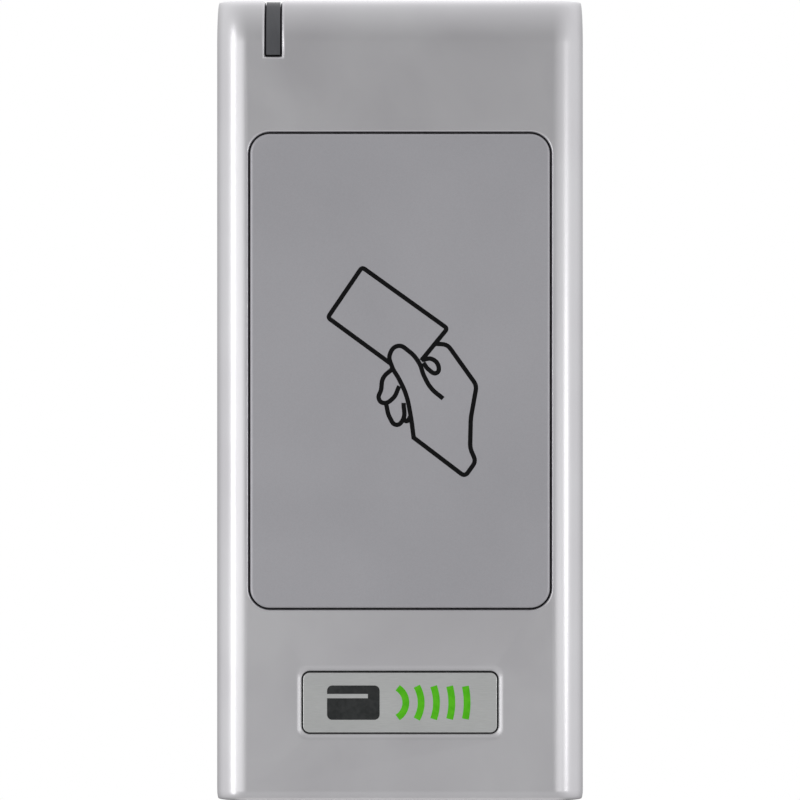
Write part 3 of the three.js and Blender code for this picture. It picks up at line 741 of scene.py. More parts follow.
def draw_line(name, points, centre, width, handles="AUTO"):
    """An ink line through (right, up) points in millimetres, from a centre that lies on the printed face."""
    only(window)
    bpy.ops.curve.primitive_bezier_curve_add(location=(0, 0, 0))
    line = bpy.context.object
    line.name = name
    spline = line.data.splines[0]
    spline.bezier_points.add(len(points) - len(spline.bezier_points))
    for knot, (right, up) in zip(spline.bezier_points, points):
        knot.co = Vector(centre) + Vector((right, 0, up)) * MM
        knot.handle_left_type = knot.handle_right_type = handles
    line.data.bevel_depth = width / 2
    line.data.bevel_resolution = 2
    line.data.resolution_u = 10
    line.data.use_fill_caps = True
    only(line)
    bpy.ops.object.convert(target="MESH")
    bpy.ops.object.mode_set(mode="EDIT")
    bpy.ops.mesh.select_all(action="SELECT")
    bpy.ops.mesh.remove_doubles(threshold=0.002 * MM)
    bpy.ops.transform.resize(value=(1, 2 * INK / width, 1), center_override=centre)
    bpy.ops.mesh.normals_make_consistent(inside=False)
    bpy.ops.object.mode_set(mode="OBJECT")
    return line


def join_pieces(name, pieces):
    """Joins pieces into the first one."""
    only(pieces[0])
    for piece in pieces:
        piece.select_set(True)
    bpy.ops.object.join()
    joined = bpy.context.object
    joined.name = name
    return joined


# %% [markdown]
# The card and the wrist have straight sides with turned corners. The fingers are soft all over, so their lines
# go through a few points each, with automatic handles.

# %% Card and hand
INK_WIDTH = 0.62 * MM
window_centre = Vector((0, panel_face, (panel_low.z + panel_high.z) / 2))
CARD = [(-1.3, 1.0), (-9.9, 7.3), (-5.2, 14.2), (6.5, 5.8), (2.9, 1.4)]
WRIST = [
    (1.8, -9.1), (8.9, -14.5), (10.4, -12.4), (9.6, -10.6),
    (9.7, -6.5), (10.5, -2.0), (6.5, 3.6), (4.9, 3.7),
]
THUMB = [
    (1.9, -9.35), (1.4, -5.8), (0.8, -3.2), (-0.1, -1.2), (-1.1, 0.6), (-1.4, 2.2),
    (-0.3, 3.4), (1.2, 2.7), (2.6, 1.1), (3.3, -0.7), (4.3, -2.4), (5.9, -3.8),
]
KNUCKLE = [(3.0, 1.5), (4.4, 1.6), (5.3, 0.5), (5.0, -0.3), (3.9, 0.2), (3.2, 1.1)]
FIRST_FINGER = [
    (-1.0, 0.3), (-2.3, -1.0), (-2.6, -2.6), (-2.9, -3.8), (-2.3, -4.4), (-1.0, -3.8), (-0.1, -2.1),
]
NEXT_FINGER = [(-1.9, -4.6), (-1.4, -6.4), (-0.5, -7.4), (0.4, -6.7), (0.5, -4.4)]
LAST_FINGER = [(0.4, -6.3), (0.9, -6.9), (1.4, -6.3)]

straight = [
    draw_line("card_line", turn_corners(points, radius), window_centre, INK_WIDTH, "VECTOR")
    for points, radius in ((CARD, 0.45), (WRIST, 0.7))
]
curved = [
    draw_line("hand_line", points, window_centre, INK_WIDTH)
    for points in (THUMB, KNUCKLE, FIRST_FINGER, NEXT_FINGER, LAST_FINGER)
]
pictogram = join_pieces("window_pictogram", straight + curved)
smooth(pictogram, 60)
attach(pictogram, body_of_node["window_panel"])

# %% [markdown]
# A foam gasket under the panel's rim. It is widened to fill the pocket, so its black foam stands in for the
# shade in the thin gap round the panel: painted shade. It is no more than one plate with a smaller one cut out.

# %% Window seal
def add_ring(name, low, high, radius, inner_low, inner_high, inner_radius):
    """A flat gasket: one plate with another cut out of it."""
    ring = add_plate(name, low, high, radius, 8)
    reach = Vector((0, MM, 0))
    carve(ring, add_plate("inner", Vector(inner_low) - reach, Vector(inner_high) + reach, inner_radius, 8))
    return ring


# The seal reaches into the gap round the panel, so its black foam is painted shade there.
SEAL_REACH_FOR_GAP_SHADE = PANEL_GAP - 0.03 * MM  # it fills the pocket, so the gap round the panel looks black
seal_inset = Vector((LEDGE - 0.2 * MM - PANEL_GAP, 0, LEDGE - 0.2 * MM - PANEL_GAP))
window_gasket = add_ring(
    "window_gasket",
    (panel_low.x - SEAL_REACH_FOR_GAP_SHADE, seal_low.y, panel_low.z - SEAL_REACH_FOR_GAP_SHADE),
    (panel_high.x + SEAL_REACH_FOR_GAP_SHADE, seal_high.y, panel_high.z + SEAL_REACH_FOR_GAP_SHADE),
    PANEL_ROUND + SEAL_REACH_FOR_GAP_SHADE,
    Vector((panel_low.x, seal_low.y, panel_low.z)) + seal_inset,
    Vector((panel_high.x, seal_high.y, panel_high.z)) - seal_inset,
    2 * MM,
)
soften(window_gasket, 0.08 * MM)
smooth(window_gasket)
stand_for(window_gasket, "window_seal")

# %% [markdown]
# ## The badge
# A thin aluminium plate, stuck in its recess. Makers print their name here, so this one wears a plain sign
# for what the reader does: a dark card that sends out green radio waves.

# %% Badge plate
BADGE_EDGE = 0.12 * MM
MARK_LINE = 0.95 * MM
# The tape reaches into the gap round the badge, so its black foam is painted shade there, as with the window's
# seal.
PAD_REACH_FOR_GAP_SHADE = BADGE_GAP - 0.03 * MM  # the black foam tape fills the recess, as the seal fills the pocket
foam_pad = add_plate(
    "foam_pad",
    (badge_low.x - PAD_REACH_FOR_GAP_SHADE, pad_low.y, badge_low.z - PAD_REACH_FOR_GAP_SHADE),
    (badge_high.x + PAD_REACH_FOR_GAP_SHADE, pad_high.y, badge_high.z + PAD_REACH_FOR_GAP_SHADE),
    BADGE_ROUND + PAD_REACH_FOR_GAP_SHADE, 6,
)
smooth(foam_pad)
stand_for(foam_pad, "badge_adhesive")
badge = add_plate("badge", badge_low, badge_high, BADGE_ROUND, 8)
bevel_edges(badge, lies_at(1, badge_low.y), BADGE_EDGE, 3)
smooth(badge)
stand_for(badge, "badge_plate")

# %% [markdown]
# The card is printed as a solid area, so it is a thin plate and not a line. The waves are lines of one width
# with even steps between them, which a loop draws.

# %% Badge mark
mark_centre = Vector((0, badge_low.y, (badge_low.z + badge_high.z) / 2))
MARK_CARD = dict(left=-10.0, right=-2.8, half=2.35, corner=0.7)  # millimetres
STRIPE = dict(low=0.6, top=1.2, short=1.6)  # millimetres, where short is what it ends before the card does
WAVE_HUB = -1.6 * MM
WAVES = [(2.4, 58), (4.5, 30), (6.6, 20), (8.7, 15), (10.8, 12)]  # radius in mm, half angle in degrees


def add_mark_card():
    """The dark card: a thin rounded plate with a stripe left out."""
    face = mark_centre.y
    low = (MARK_CARD["left"] * MM, face - INK, mark_centre.z - MARK_CARD["half"] * MM)
    high = (MARK_CARD["right"] * MM, face + INK, mark_centre.z + MARK_CARD["half"] * MM)
    card = add_plate("badge_mark_card", low, high, MARK_CARD["corner"] * MM, 6)
    stripe_low = (low[0] - MM, face - MM, mark_centre.z + STRIPE["low"] * MM)
    stripe_high = (high[0] - STRIPE["short"] * MM, face + MM, mark_centre.z + STRIPE["top"] * MM)
    carve(card, add_block("stripe", stripe_low, stripe_high))
    return card


def add_wave(radius, half_angle):
    """One arc of the green waves, round the card's right-hand end."""
    steps = 12
    angles = [math.radians(half_angle * (2 * step / steps - 1)) for step in range(steps + 1)]
    points = [(radius * math.cos(angle), radius * math.sin(angle)) for angle in angles]
    hub = mark_centre + Vector((WAVE_HUB, 0, 0))
    return draw_line("wave", points, hub, MARK_LINE)


mark_card = add_mark_card()
smooth(mark_card)
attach(mark_card, body_of_node["badge_plate"])
mark_waves = join_pieces("badge_mark_waves", [add_wave(*wave) for wave in WAVES])
smooth(mark_waves, 60)
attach(mark_waves, body_of_node["badge_plate"])

# %% [markdown]
# ## The light bar
# One moulding of smoked acrylic. It shows on the front and turns over the top edge, so it gets the housing's
# own bow, and what lies behind the two legs is cut away. Behind the skin a flange keeps it from being pushed
# out.

# %% Light bar
FLANGE_HALF = 1.9 * MM
FLANGE_THICK = 1.2 * MM
FLANGE_BITE = 0.5 * MM  # how far the legs run into the flange
FLANGE_DEEP = 1.3 * MM  # under the roof
FLANGE_FOOT, FLANGE_TAIL = 1.7 * MM, 0.9 * MM  # how far it reaches past the bar's two ends
FLANGE_GAP, END_GAP = 0.1 * MM, 0.15 * MM
bar_skin = inside_y + FLANGE_GAP
bar_roof = ceiling_z - FLANGE_GAP
bar_face = front_y + BAR_GAP
bar_back = SLOT_REAR - END_GAP

bar_left, bar_right = bar_x - BAR_HALF, bar_x + BAR_HALF
bar = add_block("smoked_bar", (bar_left, bar_face, BAR_LOW_END), (bar_right, bar_back, top_level))
bow_end(bar, top_level, 1, 0.0, TOP_BOW["depth"], bar_high.z - top_level)
behind_low = (bar_left - MM, bar_skin + FLANGE_BITE, BAR_LOW_END - MM)
behind_high = (bar_right + MM, bar_back + MM, bar_roof - FLANGE_BITE)
carve(bar, add_block("behind", behind_low, behind_high))
for half, (y0, y1), (z0, z1) in (
    (FLANGE_HALF, (bar_skin, bar_skin + FLANGE_THICK), (BAR_LOW_END - FLANGE_FOOT, bar_roof)),
    (FLANGE_HALF, (bar_skin, bar_back + FLANGE_TAIL), (bar_roof - FLANGE_DEEP, bar_roof)),
    (BAR_HALF, (bar_skin, bar_high.y), (bar_low.z, BAR_LOW_END)),
):
    carve(bar, add_block("flange", (bar_x - half, y0, z0), (bar_x + half, y1, z1)), "UNION")
soften(bar, 0.1 * MM, 2)
smooth(bar)
stand_for(bar, "light_bar")

# %% [markdown]
# ## The back
# Behind the housing a black moulded cover closes the electronics, on a rubber seal, with four small screws.
# The cable leaves by a rubber grommet. The screws and the grommet are each a line spun round an axis, and the
# cover is a plate with countersunk holes.

# %% Rear cover and its seal
cover_low, cover_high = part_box("rear_cover")
grommet_low, grommet_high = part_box("cable_grommet")
rear_seal_low, rear_seal_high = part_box("rear_seal")
COVER_ROUND, COVER_EDGE = 1.2 * MM, 0.35 * MM
GROMMET_HOLE = 4.5 * MM
SINK = 1.2 * MM
SHANK_HOLE = 1.45 * MM
SEAL_HOLE = 1.5 * MM
DRILL_FROM, DRILL_TO = -12 * MM, -6 * MM  # past both faces of the seal
SEAL_BACK_OFF = 0.2 * MM  # how far the seal stays clear of the room's edge
HOLE_EDGE = 0.1 * MM
cable_z = middle((grommet_low, grommet_high)).z

cover = add_plate("back_cover", cover_low, cover_high, COVER_ROUND, 6)
bevel_edges(cover, lies_at(1, cover_high.y), COVER_EDGE, 3)
for x, z in front_places(cover_screws):
    drill = add_rod("drill", SHANK_HOLE, (x, cover_low.y - MM, z), (x, cover_high.y - SINK, z), sides=32)
    carve(cover, flare(drill, 1, 1, SINK, 1))
hole_low, hole_high = (0, cover_low.y - MM, cable_z), (0, cover_high.y - HOLE_EDGE, cable_z)
carve(cover, flare(add_rod("hole", GROMMET_HOLE, hole_low, hole_high), 1, 1, HOLE_EDGE, 1))
smooth(cover)
stand_for(cover, "rear_cover")

inner_low = (-ROOM_HALF - SEAL_BACK_OFF, rear_seal_low.y, ROOM_LOW - SEAL_BACK_OFF)
inner_high = (ROOM_HALF + SEAL_BACK_OFF, rear_seal_high.y, ROOM_TOP + SEAL_BACK_OFF)
rubber_seal = add_plate("back_seal", rear_seal_low, rear_seal_high, MM, 6)
through = Vector((0, MM, 0))
inside = add_block("inside", Vector(inner_low) - through, Vector(inner_high) + through)
bevel_edges(inside, lambda e: runs_along(1)(e) and lies_at(2, inner_low[2])(e), GUSSET, segments=1)
carve(rubber_seal, inside)
for x, z in front_places(cover_screws):
    carve(rubber_seal, add_rod("drill", SEAL_HOLE, (x, DRILL_FROM, z), (x, DRILL_TO, z), sides=24))
soften(rubber_seal, 0.15 * MM)
smooth(rubber_seal)
stand_for(rubber_seal, "rear_seal")

# %% [markdown]
# A screw is turned from one outline. Its thread is a row of rings, which at this size looks like a helix and
# has far fewer faces. The cross in its head is two bars joined, narrowed at the bottom and cut out.

# %% Thread, cross and copies
CROSS_WIDTH = 0.5 * MM
CROSS_TAPER = 0.62  # the recess's size at its bottom over its size at the face


def thread(low, high, crest, depth=0.15, pitch=0.5):
    """A screw thread's outline: (radius, height) pairs in millimetres that go in and out once a pitch."""
    turns = int((high - low) / pitch)
    pairs = [[(crest - depth, low + pitch * i), (crest, low + pitch * (i + 0.5))] for i in range(turns)]
    return [pair for two in pairs for pair in two] + [(crest - depth, high)]


def cut_cross(screw, face, x, z, reach, depth):
    """A cross recess in a screw head whose face is at y = face."""
    inner, outer = face - depth, face + MM
    half = CROSS_WIDTH / 2
    across = add_block("cross", (x - reach, inner, z - half), (x + reach, outer, z + half))
    carve(across, add_block("cross_up", (x - half, inner, z - reach), (x + half, outer, z + reach)), "UNION")
    pick(across, "FACE", lies_at(1, inner))
    bpy.ops.transform.resize(value=(CROSS_TAPER, 1, CROSS_TAPER), center_override=(x, inner, z))
    bpy.ops.object.mode_set(mode="OBJECT")
    carve(screw, across)


def copy_to(piece, name, move):
    """A copy with a mesh of its own, moved there in its mesh."""
    twin = piece.copy()
    twin.data = piece.data.copy()
    twin.name = name
    bpy.context.scene.collection.objects.link(twin)
    only(twin)
    bpy.ops.object.mode_set(mode="EDIT")
    bpy.ops.mesh.select_all(action="SELECT")
    bpy.ops.transform.translate(value=move)
    bpy.ops.object.mode_set(mode="OBJECT")
    return twin


def place_screws(name, add_one, nodes):
    """Models a screw at the first node's place and copies it to the places of the others."""
    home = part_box(nodes[0])
    pieces = [add_one(f"{name}_1", home)]
    for i, node in enumerate(nodes[1:], 2):
        pieces.append(copy_to(pieces[0], f"{name}_{i}", middle(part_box(node)) - middle(home)))
    for piece, node in zip(pieces, nodes):
        stand_for(piece, node)
    print(f"{name}: {len(nodes)} of them")

# %% [markdown]
# Each kind is modelled once and copied to its other places, with a mesh of its own each time. The cover's
# screws are countersunk, and the board's have a flat-topped round head.

# %% Cover and board screws
def add_screw(name, box, profile, reach, depth, steps):
    """Turns a screw at the middle of its box and cuts a cross of that reach and depth in its head."""
    at = middle(box)
    screw = add_turned(name, profile, (at.x, 0, at.z), steps=steps)
    cut_cross(screw, box[1].y, at.x, at.z, reach, depth)
    smooth(screw)
    return screw


def add_cover_screw(name, box):
    """A countersunk screw for the cover."""
    face, tip = box[1].y / MM, box[0].y / MM
    profile = [(0, tip), (0.9, tip + 0.6), *thread(tip + 0.8, face - 1.6, 1.2), (1.2, face - 1.3)]
    profile += [(2.35, face - 0.15), (2.4, face - 0.08), (2.3, face), (0, face)]
    return add_screw(name, box, profile, 1.3 * MM, 0.8 * MM, 48)


def add_board_screw(name, box):
    """A pan-head screw for the board."""
    crown, tip = box[1].y / MM, box[0].y / MM
    seat = crown - 1.3
    profile = [(0, tip), (0.7, tip + 0.5), *thread(tip + 0.6, seat, 0.95, 0.12, 0.4), (1.9, seat)]
    profile += [(1.9, crown - 0.5), (1.75, crown - 0.22), (1.4, crown - 0.05), (1.1, crown), (0, crown)]
    return add_screw(name, box, profile, 1.1 * MM, 0.7 * MM, 32)


place_screws("cover_fixing", add_cover_screw, cover_screws)
place_screws("board_fixing", add_board_screw, board_screws)

# %% [markdown]
# The grommet is one more turned piece, with a groove that the cover snaps into. The label is foil, a plate so
# thin that only its edge shows it. Nothing is printed on it but a frame and two rules, which its finish draws.

# %% Grommet and label
GROMMET = dict(bore=3.2, neck=4.4, flange=6.0)  # radii in millimetres
inner_side, outer_side = cover_low.y / MM - 0.1, cover_high.y / MM + 0.1
grommet = add_turned("cable_bush", [
    (GROMMET["bore"], grommet_low.y / MM), (GROMMET["flange"] - 0.3, grommet_low.y / MM),
    (GROMMET["flange"], inner_side), (GROMMET["neck"], inner_side), (GROMMET["neck"], outer_side),
    (GROMMET["flange"], outer_side), (GROMMET["flange"] - 0.4, grommet_high.y / MM),
    (GROMMET["bore"], grommet_high.y / MM), (GROMMET["bore"], grommet_low.y / MM),
], (0, 0, cable_z), steps=64)
soften(grommet, 0.25 * MM, 3)
smooth(grommet)
stand_for(grommet, "cable_grommet")

label_low, label_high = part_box("rating_label")
LABEL_ROUND, LABEL_EDGE = 1.5 * MM, 0.04 * MM
label = add_plate("foil_label", label_low, label_high, LABEL_ROUND, 8)
bevel_edges(label, lies_at(1, label_high.y), LABEL_EDGE, 2)
smooth(label)
stand_for(label, "rating_label")

# %% [markdown]
# ## The wall plate
# The plate is stamped from one galvanised sheet. Its two hooks and its lock tab are folded out of the same
# sheet, so each fold is round outside, tight inside, and has a small relief notch at both ends. A clinch nut
# is pressed into the tab for the lock screw.

# %% Folded strips
SHEET = 1.5  # millimetres, as are the folds below
FOLD_OUT, FOLD_IN = 1.8, 0.3
PLATE_TOP = 50.1
plate_low, plate_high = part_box("wall_plate")
plate_foot = plate_low.z / MM
LIP_TOP = plate_high.z / MM
TAB_REACH = plate_low.y / MM
HOOK_REACH, HOOK_LIP = -5.3, 1.2


def add_strip(name, corners, left, right):
    """A folded strip, from its side outline: (y, z, turn) corners in millimetres, extruded along X."""
    outline = []
    for i, (y, z, radius) in enumerate(corners):
        before, after = corners[i - 1][:2], corners[(i + 1) % len(corners)][:2]
        outline += turn(before, (y, z), after, radius) if radius else [Vector((y, z))]
    strip = start_outline(name, [Vector((left / MM, point.x, point.y)) * MM for point in outline])
    bpy.ops.mesh.edge_face_add()
    extrude((right - left, 0, 0))
    bpy.ops.mesh.select_all(action="SELECT")
    bpy.ops.mesh.normals_make_consistent(inside=False)
    bpy.ops.object.mode_set(mode="OBJECT")
    return strip


ROOT = 3.6  # how far down into the plate a strip starts
HOOK_SIDE = [
    (-SHEET, PLATE_TOP - ROOT, 0), (0, PLATE_TOP - ROOT, 0), (0, PLATE_TOP, FOLD_OUT),
    (HOOK_REACH + HOOK_LIP, PLATE_TOP, FOLD_IN), (HOOK_REACH + HOOK_LIP, LIP_TOP, FOLD_IN),
    (HOOK_REACH, LIP_TOP, FOLD_IN), (HOOK_REACH, PLATE_TOP - SHEET, FOLD_OUT),
    (-SHEET, PLATE_TOP - SHEET, FOLD_IN),
]
TAB_SIDE = [
    (0, plate_foot + ROOT, 0), (-SHEET, plate_foot + ROOT, 0), (-SHEET, plate_foot + SHEET, FOLD_IN),
    (TAB_REACH, plate_foot + SHEET, 0.2), (TAB_REACH, plate_foot, 0.2), (0, plate_foot, FOLD_OUT),
]

# %% [markdown]
# The flat sheet comes first, and where a strip is folded out the sheet is cleared with a notch on each side.
# A punch rolls the edge of a hole over on the side that it enters, so the holes get a flared mouth in front.

# %% Wall plate
HOOK_INNER, HOOK_OUTER = 6 * MM, 14 * MM
TAB_HALF = 6 * MM
NOTCH = 0.8 * MM
NOTCH_DEEP = 2.6 * MM
BLANKED = 0.2 * MM  # the rolled-over edge that a punch leaves
SLOT_LONG, SLOT_WIDE = 9 * MM, 4.6 * MM
LEVEL_SLOT_Z, UPRIGHT_SLOT_Z = 33 * MM, -27 * MM
PLATE_ROUND, PLATE_EDGE = 2 * MM, 0.15 * MM
CABLE_HOLE, NUT_HOLE = 7.5 * MM, 2.2 * MM


def slot_cutter(z, across, up):
    """A cutter for a long hole with round ends and a rolled-over mouth."""
    low, high = (-across / 2, BLANKED - SHEET * MM, z - up / 2), (across / 2, MM, z + up / 2)
    cutter = add_plate("slot_hole", low, high, min(across, up) / 2 - 0.01 * MM, 12)
    return flare(cutter, 1, -1, BLANKED, 3)


def add_folded(name, side, left, right, low_z, high_z):
    """Clears the sheet where a strip is folded out, with a notch at each side, and joins the strip to it."""
    carve(plate, add_block("clear", (left - NOTCH, -3 * MM, low_z), (right + NOTCH, MM, high_z)))
    carve(plate, add_strip(name, side, left, right), "UNION")


top_z, foot_z, sheet_y = PLATE_TOP * MM, plate_low.z, -SHEET * MM
plate = add_plate("mounting_plate", (plate_low.x, sheet_y, foot_z), (plate_high.x, 0, top_z), PLATE_ROUND, 8)
bevel_edges(plate, lies_at(1, sheet_y), PLATE_EDGE, 2)
add_folded("hook", HOOK_SIDE, -HOOK_OUTER, -HOOK_INNER, top_z - NOTCH_DEEP, top_z + MM)
add_folded("hook", HOOK_SIDE, HOOK_INNER, HOOK_OUTER, top_z - NOTCH_DEEP, top_z + MM)
add_folded("tab", TAB_SIDE, -TAB_HALF, TAB_HALF, foot_z - MM, foot_z + NOTCH_DEEP)
cable_hole = add_rod("cable_hole", CABLE_HOLE, (0, BLANKED + sheet_y, cable_z), (0, MM, cable_z), sides=64)
carve(plate, flare(cable_hole, 1, -1, BLANKED, 3))
carve(plate, slot_cutter(LEVEL_SLOT_Z, SLOT_LONG, SLOT_WIDE))
carve(plate, slot_cutter(UPRIGHT_SLOT_Z, SLOT_WIDE, SLOT_LONG))
carve(plate, add_rod("nut_hole", NUT_HOLE, (0, lock_y, foot_z - MM), (0, lock_y, foot_z + 3 * MM), axis=2))
smooth(plate)
stand_for(plate, "wall_plate")

# %% [markdown]
# The nut's shank is pressed into the tab and its collar lies on top. It is turned like the screws, from an
# outline that goes round its whole section.

# %% Clinch nut
nut_low, nut_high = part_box("lock_nut")
nut_foot, nut_top = nut_low.z / MM, nut_high.z / MM
nut_seat = plate_foot + SHEET + 0.05
nut = add_turned("clinch_nut", [
    (1.6, nut_foot + 0.2), (1.75, nut_foot), (2.0, nut_foot), (2.1, nut_foot + 0.15), (2.1, nut_seat),
    (2.9, nut_seat), (3.0, nut_seat + 0.1), (3.0, nut_top - 0.25), (2.75, nut_top), (1.85, nut_top),
    (1.6, nut_top - 0.25), (1.6, nut_foot + 0.2),
], (lock_x, lock_y, 0), axis=2, steps=48)
smooth(nut)
stand_for(nut, "lock_nut")

# %% [markdown]
# ## The lock screw
# A small socket-head screw in the underside, kept from falling out by a rubber ring. It climbs into the
# clinch nut to lock the reader to its plate, so both ride on bodies of their own.

# %% Lock screw and ring
ring_low, ring_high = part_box("lock_screw_ring")
HEAD_RADIUS, HEAD_HEIGHT, SHANK_RADIUS = 2.5, 1.8, 1.45  # millimetres, as are the socket's sizes
SOCKET_RADIUS, SOCKET_DEPTH, SOCKET_LIP = 1.15, 1.2, 0.15
foot, tip = lock_low.z / MM, lock_high.z / MM
seat = foot + HEAD_HEIGHT
lock = add_turned("lock_bolt", [
    (0, foot), (2.1, foot), (2.4, foot + 0.1), (HEAD_RADIUS, foot + 0.3), (HEAD_RADIUS, seat - 0.15),
    (HEAD_RADIUS - 0.15, seat), (SHANK_RADIUS, seat), (SHANK_RADIUS, seat + 1.3),
    *thread(seat + 1.4, tip - 0.5, SHANK_RADIUS), (1.0, tip), (0, tip),
], (lock_x, lock_y, 0), axis=2, steps=64)
socket_low = (lock_x, lock_y, (foot + SOCKET_LIP) * MM)
socket_high = (lock_x, lock_y, (foot + SOCKET_DEPTH) * MM)
socket = add_rod("socket", SOCKET_RADIUS * MM, socket_low, socket_high, axis=2, sides=6)
carve(lock, flare(socket, 2, -1, SOCKET_LIP * MM, 1))
smooth(lock)
stand_for(lock, "lock_screw")

ring_middle = middle((ring_low, ring_high))
ring_thick = (ring_high.z - ring_low.z) / 2 / MM
ring_mean = (ring_high.x - ring_low.x) / 2 / MM - ring_thick
FLASH = 0.02  # the mould's parting line stands this far out, in millimetres
ring_outline = []
for step in range(17):
    angle = 2 * math.pi * step / 16
    reach = ring_thick - (0 if step in (0, 16) else FLASH)
    ring_outline.append((ring_mean + reach * math.cos(angle), reach * math.sin(angle)))
o_ring = add_turned("rubber_ring", ring_outline, ring_middle, axis=2, steps=48)
smooth(o_ring, 60)
stand_for(o_ring, "lock_screw_ring")

# %% [markdown]
# ## Finishes
# Each finish is a Principled shader fed by fine patterns that read Object coordinates, so that they sit still
# on a piece wherever it moves. Three effects come back in many finishes, so each is a node group: a fine
# grain, slow patches such as handling leaves, and cells for flakes and crystals. Their sizes are in
# millimetres.

# %% Node groups
def new_group(name, inputs, outputs):
    """An empty node group with the inputs (title, kind, value) and the outputs, which are all numbers."""
    group = bpy.data.node_groups.new(name, "ShaderNodeTree")
    for title, kind, value in inputs:
        socket = group.interface.new_socket(title, in_out="INPUT", socket_type=kind)
        if value is not None:
            socket.default_value = value
    for title in outputs:
        group.interface.new_socket(title, in_out="OUTPUT", socket_type="NodeSocketFloat")
    return group, group.nodes.new("NodeGroupInput").outputs, group.nodes.new("NodeGroupOutput").inputs


# %% [markdown]
# Noise at two scales gives a grain, slow noise gives patches, and Voronoi cells give flakes and crystals. Only
# numbers leave the groups, and the shaders stay in the materials.

# %% Shared effects
PLACE = ("Vector", "NodeSocketVector", None)


def make_grain():
    """Fine grain: two sizes of noise in one height."""
    group, given, out = new_group("grain", [PLACE, ("Size mm", "NodeSocketFloat", 0.2)], ["Height"])
    scale = calculate(group, "DIVIDE", 1000.0, given["Size mm"])
    coarse = add_node(group, "ShaderNodeTexNoise", Vector=given["Vector"], Scale=scale, Detail=2.0)
    finer = calculate(group, "MULTIPLY", scale, 2.7)
    fine = add_node(group, "ShaderNodeTexNoise", Vector=given["Vector"], Scale=finer, Detail=3.0)
    half = calculate(group, "MULTIPLY", fine.outputs["Fac"], 0.5)
    group.links.new(calculate(group, "ADD", coarse.outputs["Fac"], half), out["Height"])
    return group


def make_patches():
    """Slow soft patches between a low and a high value, with a mask of the same patches."""
    group, given, out = new_group(
        "patches",
        [PLACE, ("Size mm", "NodeSocketFloat", 20.0), ("Low", "NodeSocketFloat", 0.3),
         ("High", "NodeSocketFloat", 0.4)],
        ["Value", "Mask"],
    )
    scale = calculate(group, "DIVIDE", 1000.0, given["Size mm"])
    shape = dict(Scale=scale, Detail=4.0, Distortion=0.4)
    noise = add_node(group, "ShaderNodeTexNoise", Vector=given["Vector"], **shape)
    mask = remap(group, noise.outputs["Fac"], 0.32, 0.68)
    group.links.new(mask, out["Mask"])
    group.links.new(remap(group, mask, 0.0, 1.0, given["Low"], given["High"]), out["Value"])
    return group


def make_cells():
    """Cells with one random tone each, and a height that dips at their borders."""
    group, given, out = new_group("cells", [PLACE, ("Size mm", "NodeSocketFloat", 1.0)], ["Tone", "Height"])
    scale = calculate(group, "DIVIDE", 1000.0, given["Size mm"])
    cell = add_node(group, "ShaderNodeTexVoronoi", Vector=given["Vector"], Scale=scale)
    tone = add_node(group, "ShaderNodeSeparateColor", Color=cell.outputs["Color"])
    group.links.new(tone.outputs["Red"], out["Tone"])
    group.links.new(calculate(group, "SUBTRACT", 1.0, cell.outputs["Distance"]), out["Height"])
    return group


GRAIN, PATCHES, CELLS = make_grain(), make_patches(), make_cells()


def use(tree, group, place, size_mm, **values):
    """Places a shared effect in a finish."""
    node = add_node(tree, "ShaderNodeGroup", {"node_tree": group}, Vector=place, Size_mm=size_mm, **values)
    return node.outputs


# %% [markdown]
# A finish starts with its shader and the Object coordinates. Most of them are then made the same way: patches
# change the colour and the gloss, and a fine pattern raises the surface.

# %% Starting a finish
def new_finish(name, roughness, metallic=0.0, **settings):
    """A material with a plain shader. Returns it with its tree, its shader and the Object coordinates."""
    material = bpy.data.materials.new(name)
    material.use_nodes = True
    tree = material.node_tree
    shader = tree.nodes["Principled BSDF"]
    shader.inputs["Roughness"].default_value = roughness
    shader.inputs["Metallic"].default_value = metallic
    for title, value in settings.items():
        shader.inputs[title.replace("_", " ")].default_value = value
    place = tree.nodes.new("ShaderNodeTexCoord").outputs["Object"]
    return material, tree, shader, place


def stretched(tree, place, along, turn_x=0.0):
    """Coordinates squeezed along each axis, which draws a pattern out into streaks."""
    node = add_node(tree, "ShaderNodeMapping", Vector=place, Scale=along, Rotation=(turn_x, 0, 0))
    return node.outputs["Vector"]


def paint(tree, shader, mask, dark, light):
    tree.links.new(blend_colors(tree, mask, dark, light), shader.inputs["Base Color"])


def gloss(tree, shader, roughness):
    tree.links.new(roughness, shader.inputs["Roughness"])


def relieve(tree, shader, height, micrometres, strength):
    """Raises the surface a little where the height is greater."""
    bump = add_node(tree, "ShaderNodeBump", Height=height, Distance=micrometres * 1e-6, Strength=strength)
    tree.links.new(bump.outputs["Normal"], shader.inputs["Normal"])


def worn_finish(name, roughness, colors, patches, relief, metallic=0.0, pattern=GRAIN, **settings):
    """A finish whose slow patches, of (size in mm, least and greatest roughness), blend the dark colour with
    the light one, and which has a pattern in relief, of (size in mm, micrometres, strength)."""
    material, tree, shader, place = new_finish(name, roughness, metallic, **settings)
    patch_mm, smoothest, roughest = patches
    worn = use(tree, PATCHES, place, patch_mm, Low=smoothest, High=roughest)
    paint(tree, shader, worn["Mask"], *colors)
    gloss(tree, shader, worn["Value"])
    pattern_mm, micrometres, strength = relief
    relieve(tree, shader, use(tree, pattern, place, pattern_mm)["Height"], micrometres, strength)
    return material


# %% [markdown]
# The metals come first. Satin plating is blasted before it is plated, so its grain is far finer than a
# millimetre and the same in every direction. A brushed badge has its grain drawn out sideways. Hot-dip
# galvanising freezes in crystals a few millimetres wide, each with its own shade.

# %% Metals
def satin_nickel():
    colors = (0.70, 0.69, 0.71), (0.74, 0.735, 0.75)
    return worn_finish("satin_nickel", 0.3, colors, (14.0, 0.29, 0.34), (0.16, 1.6, 0.5), 1.0)


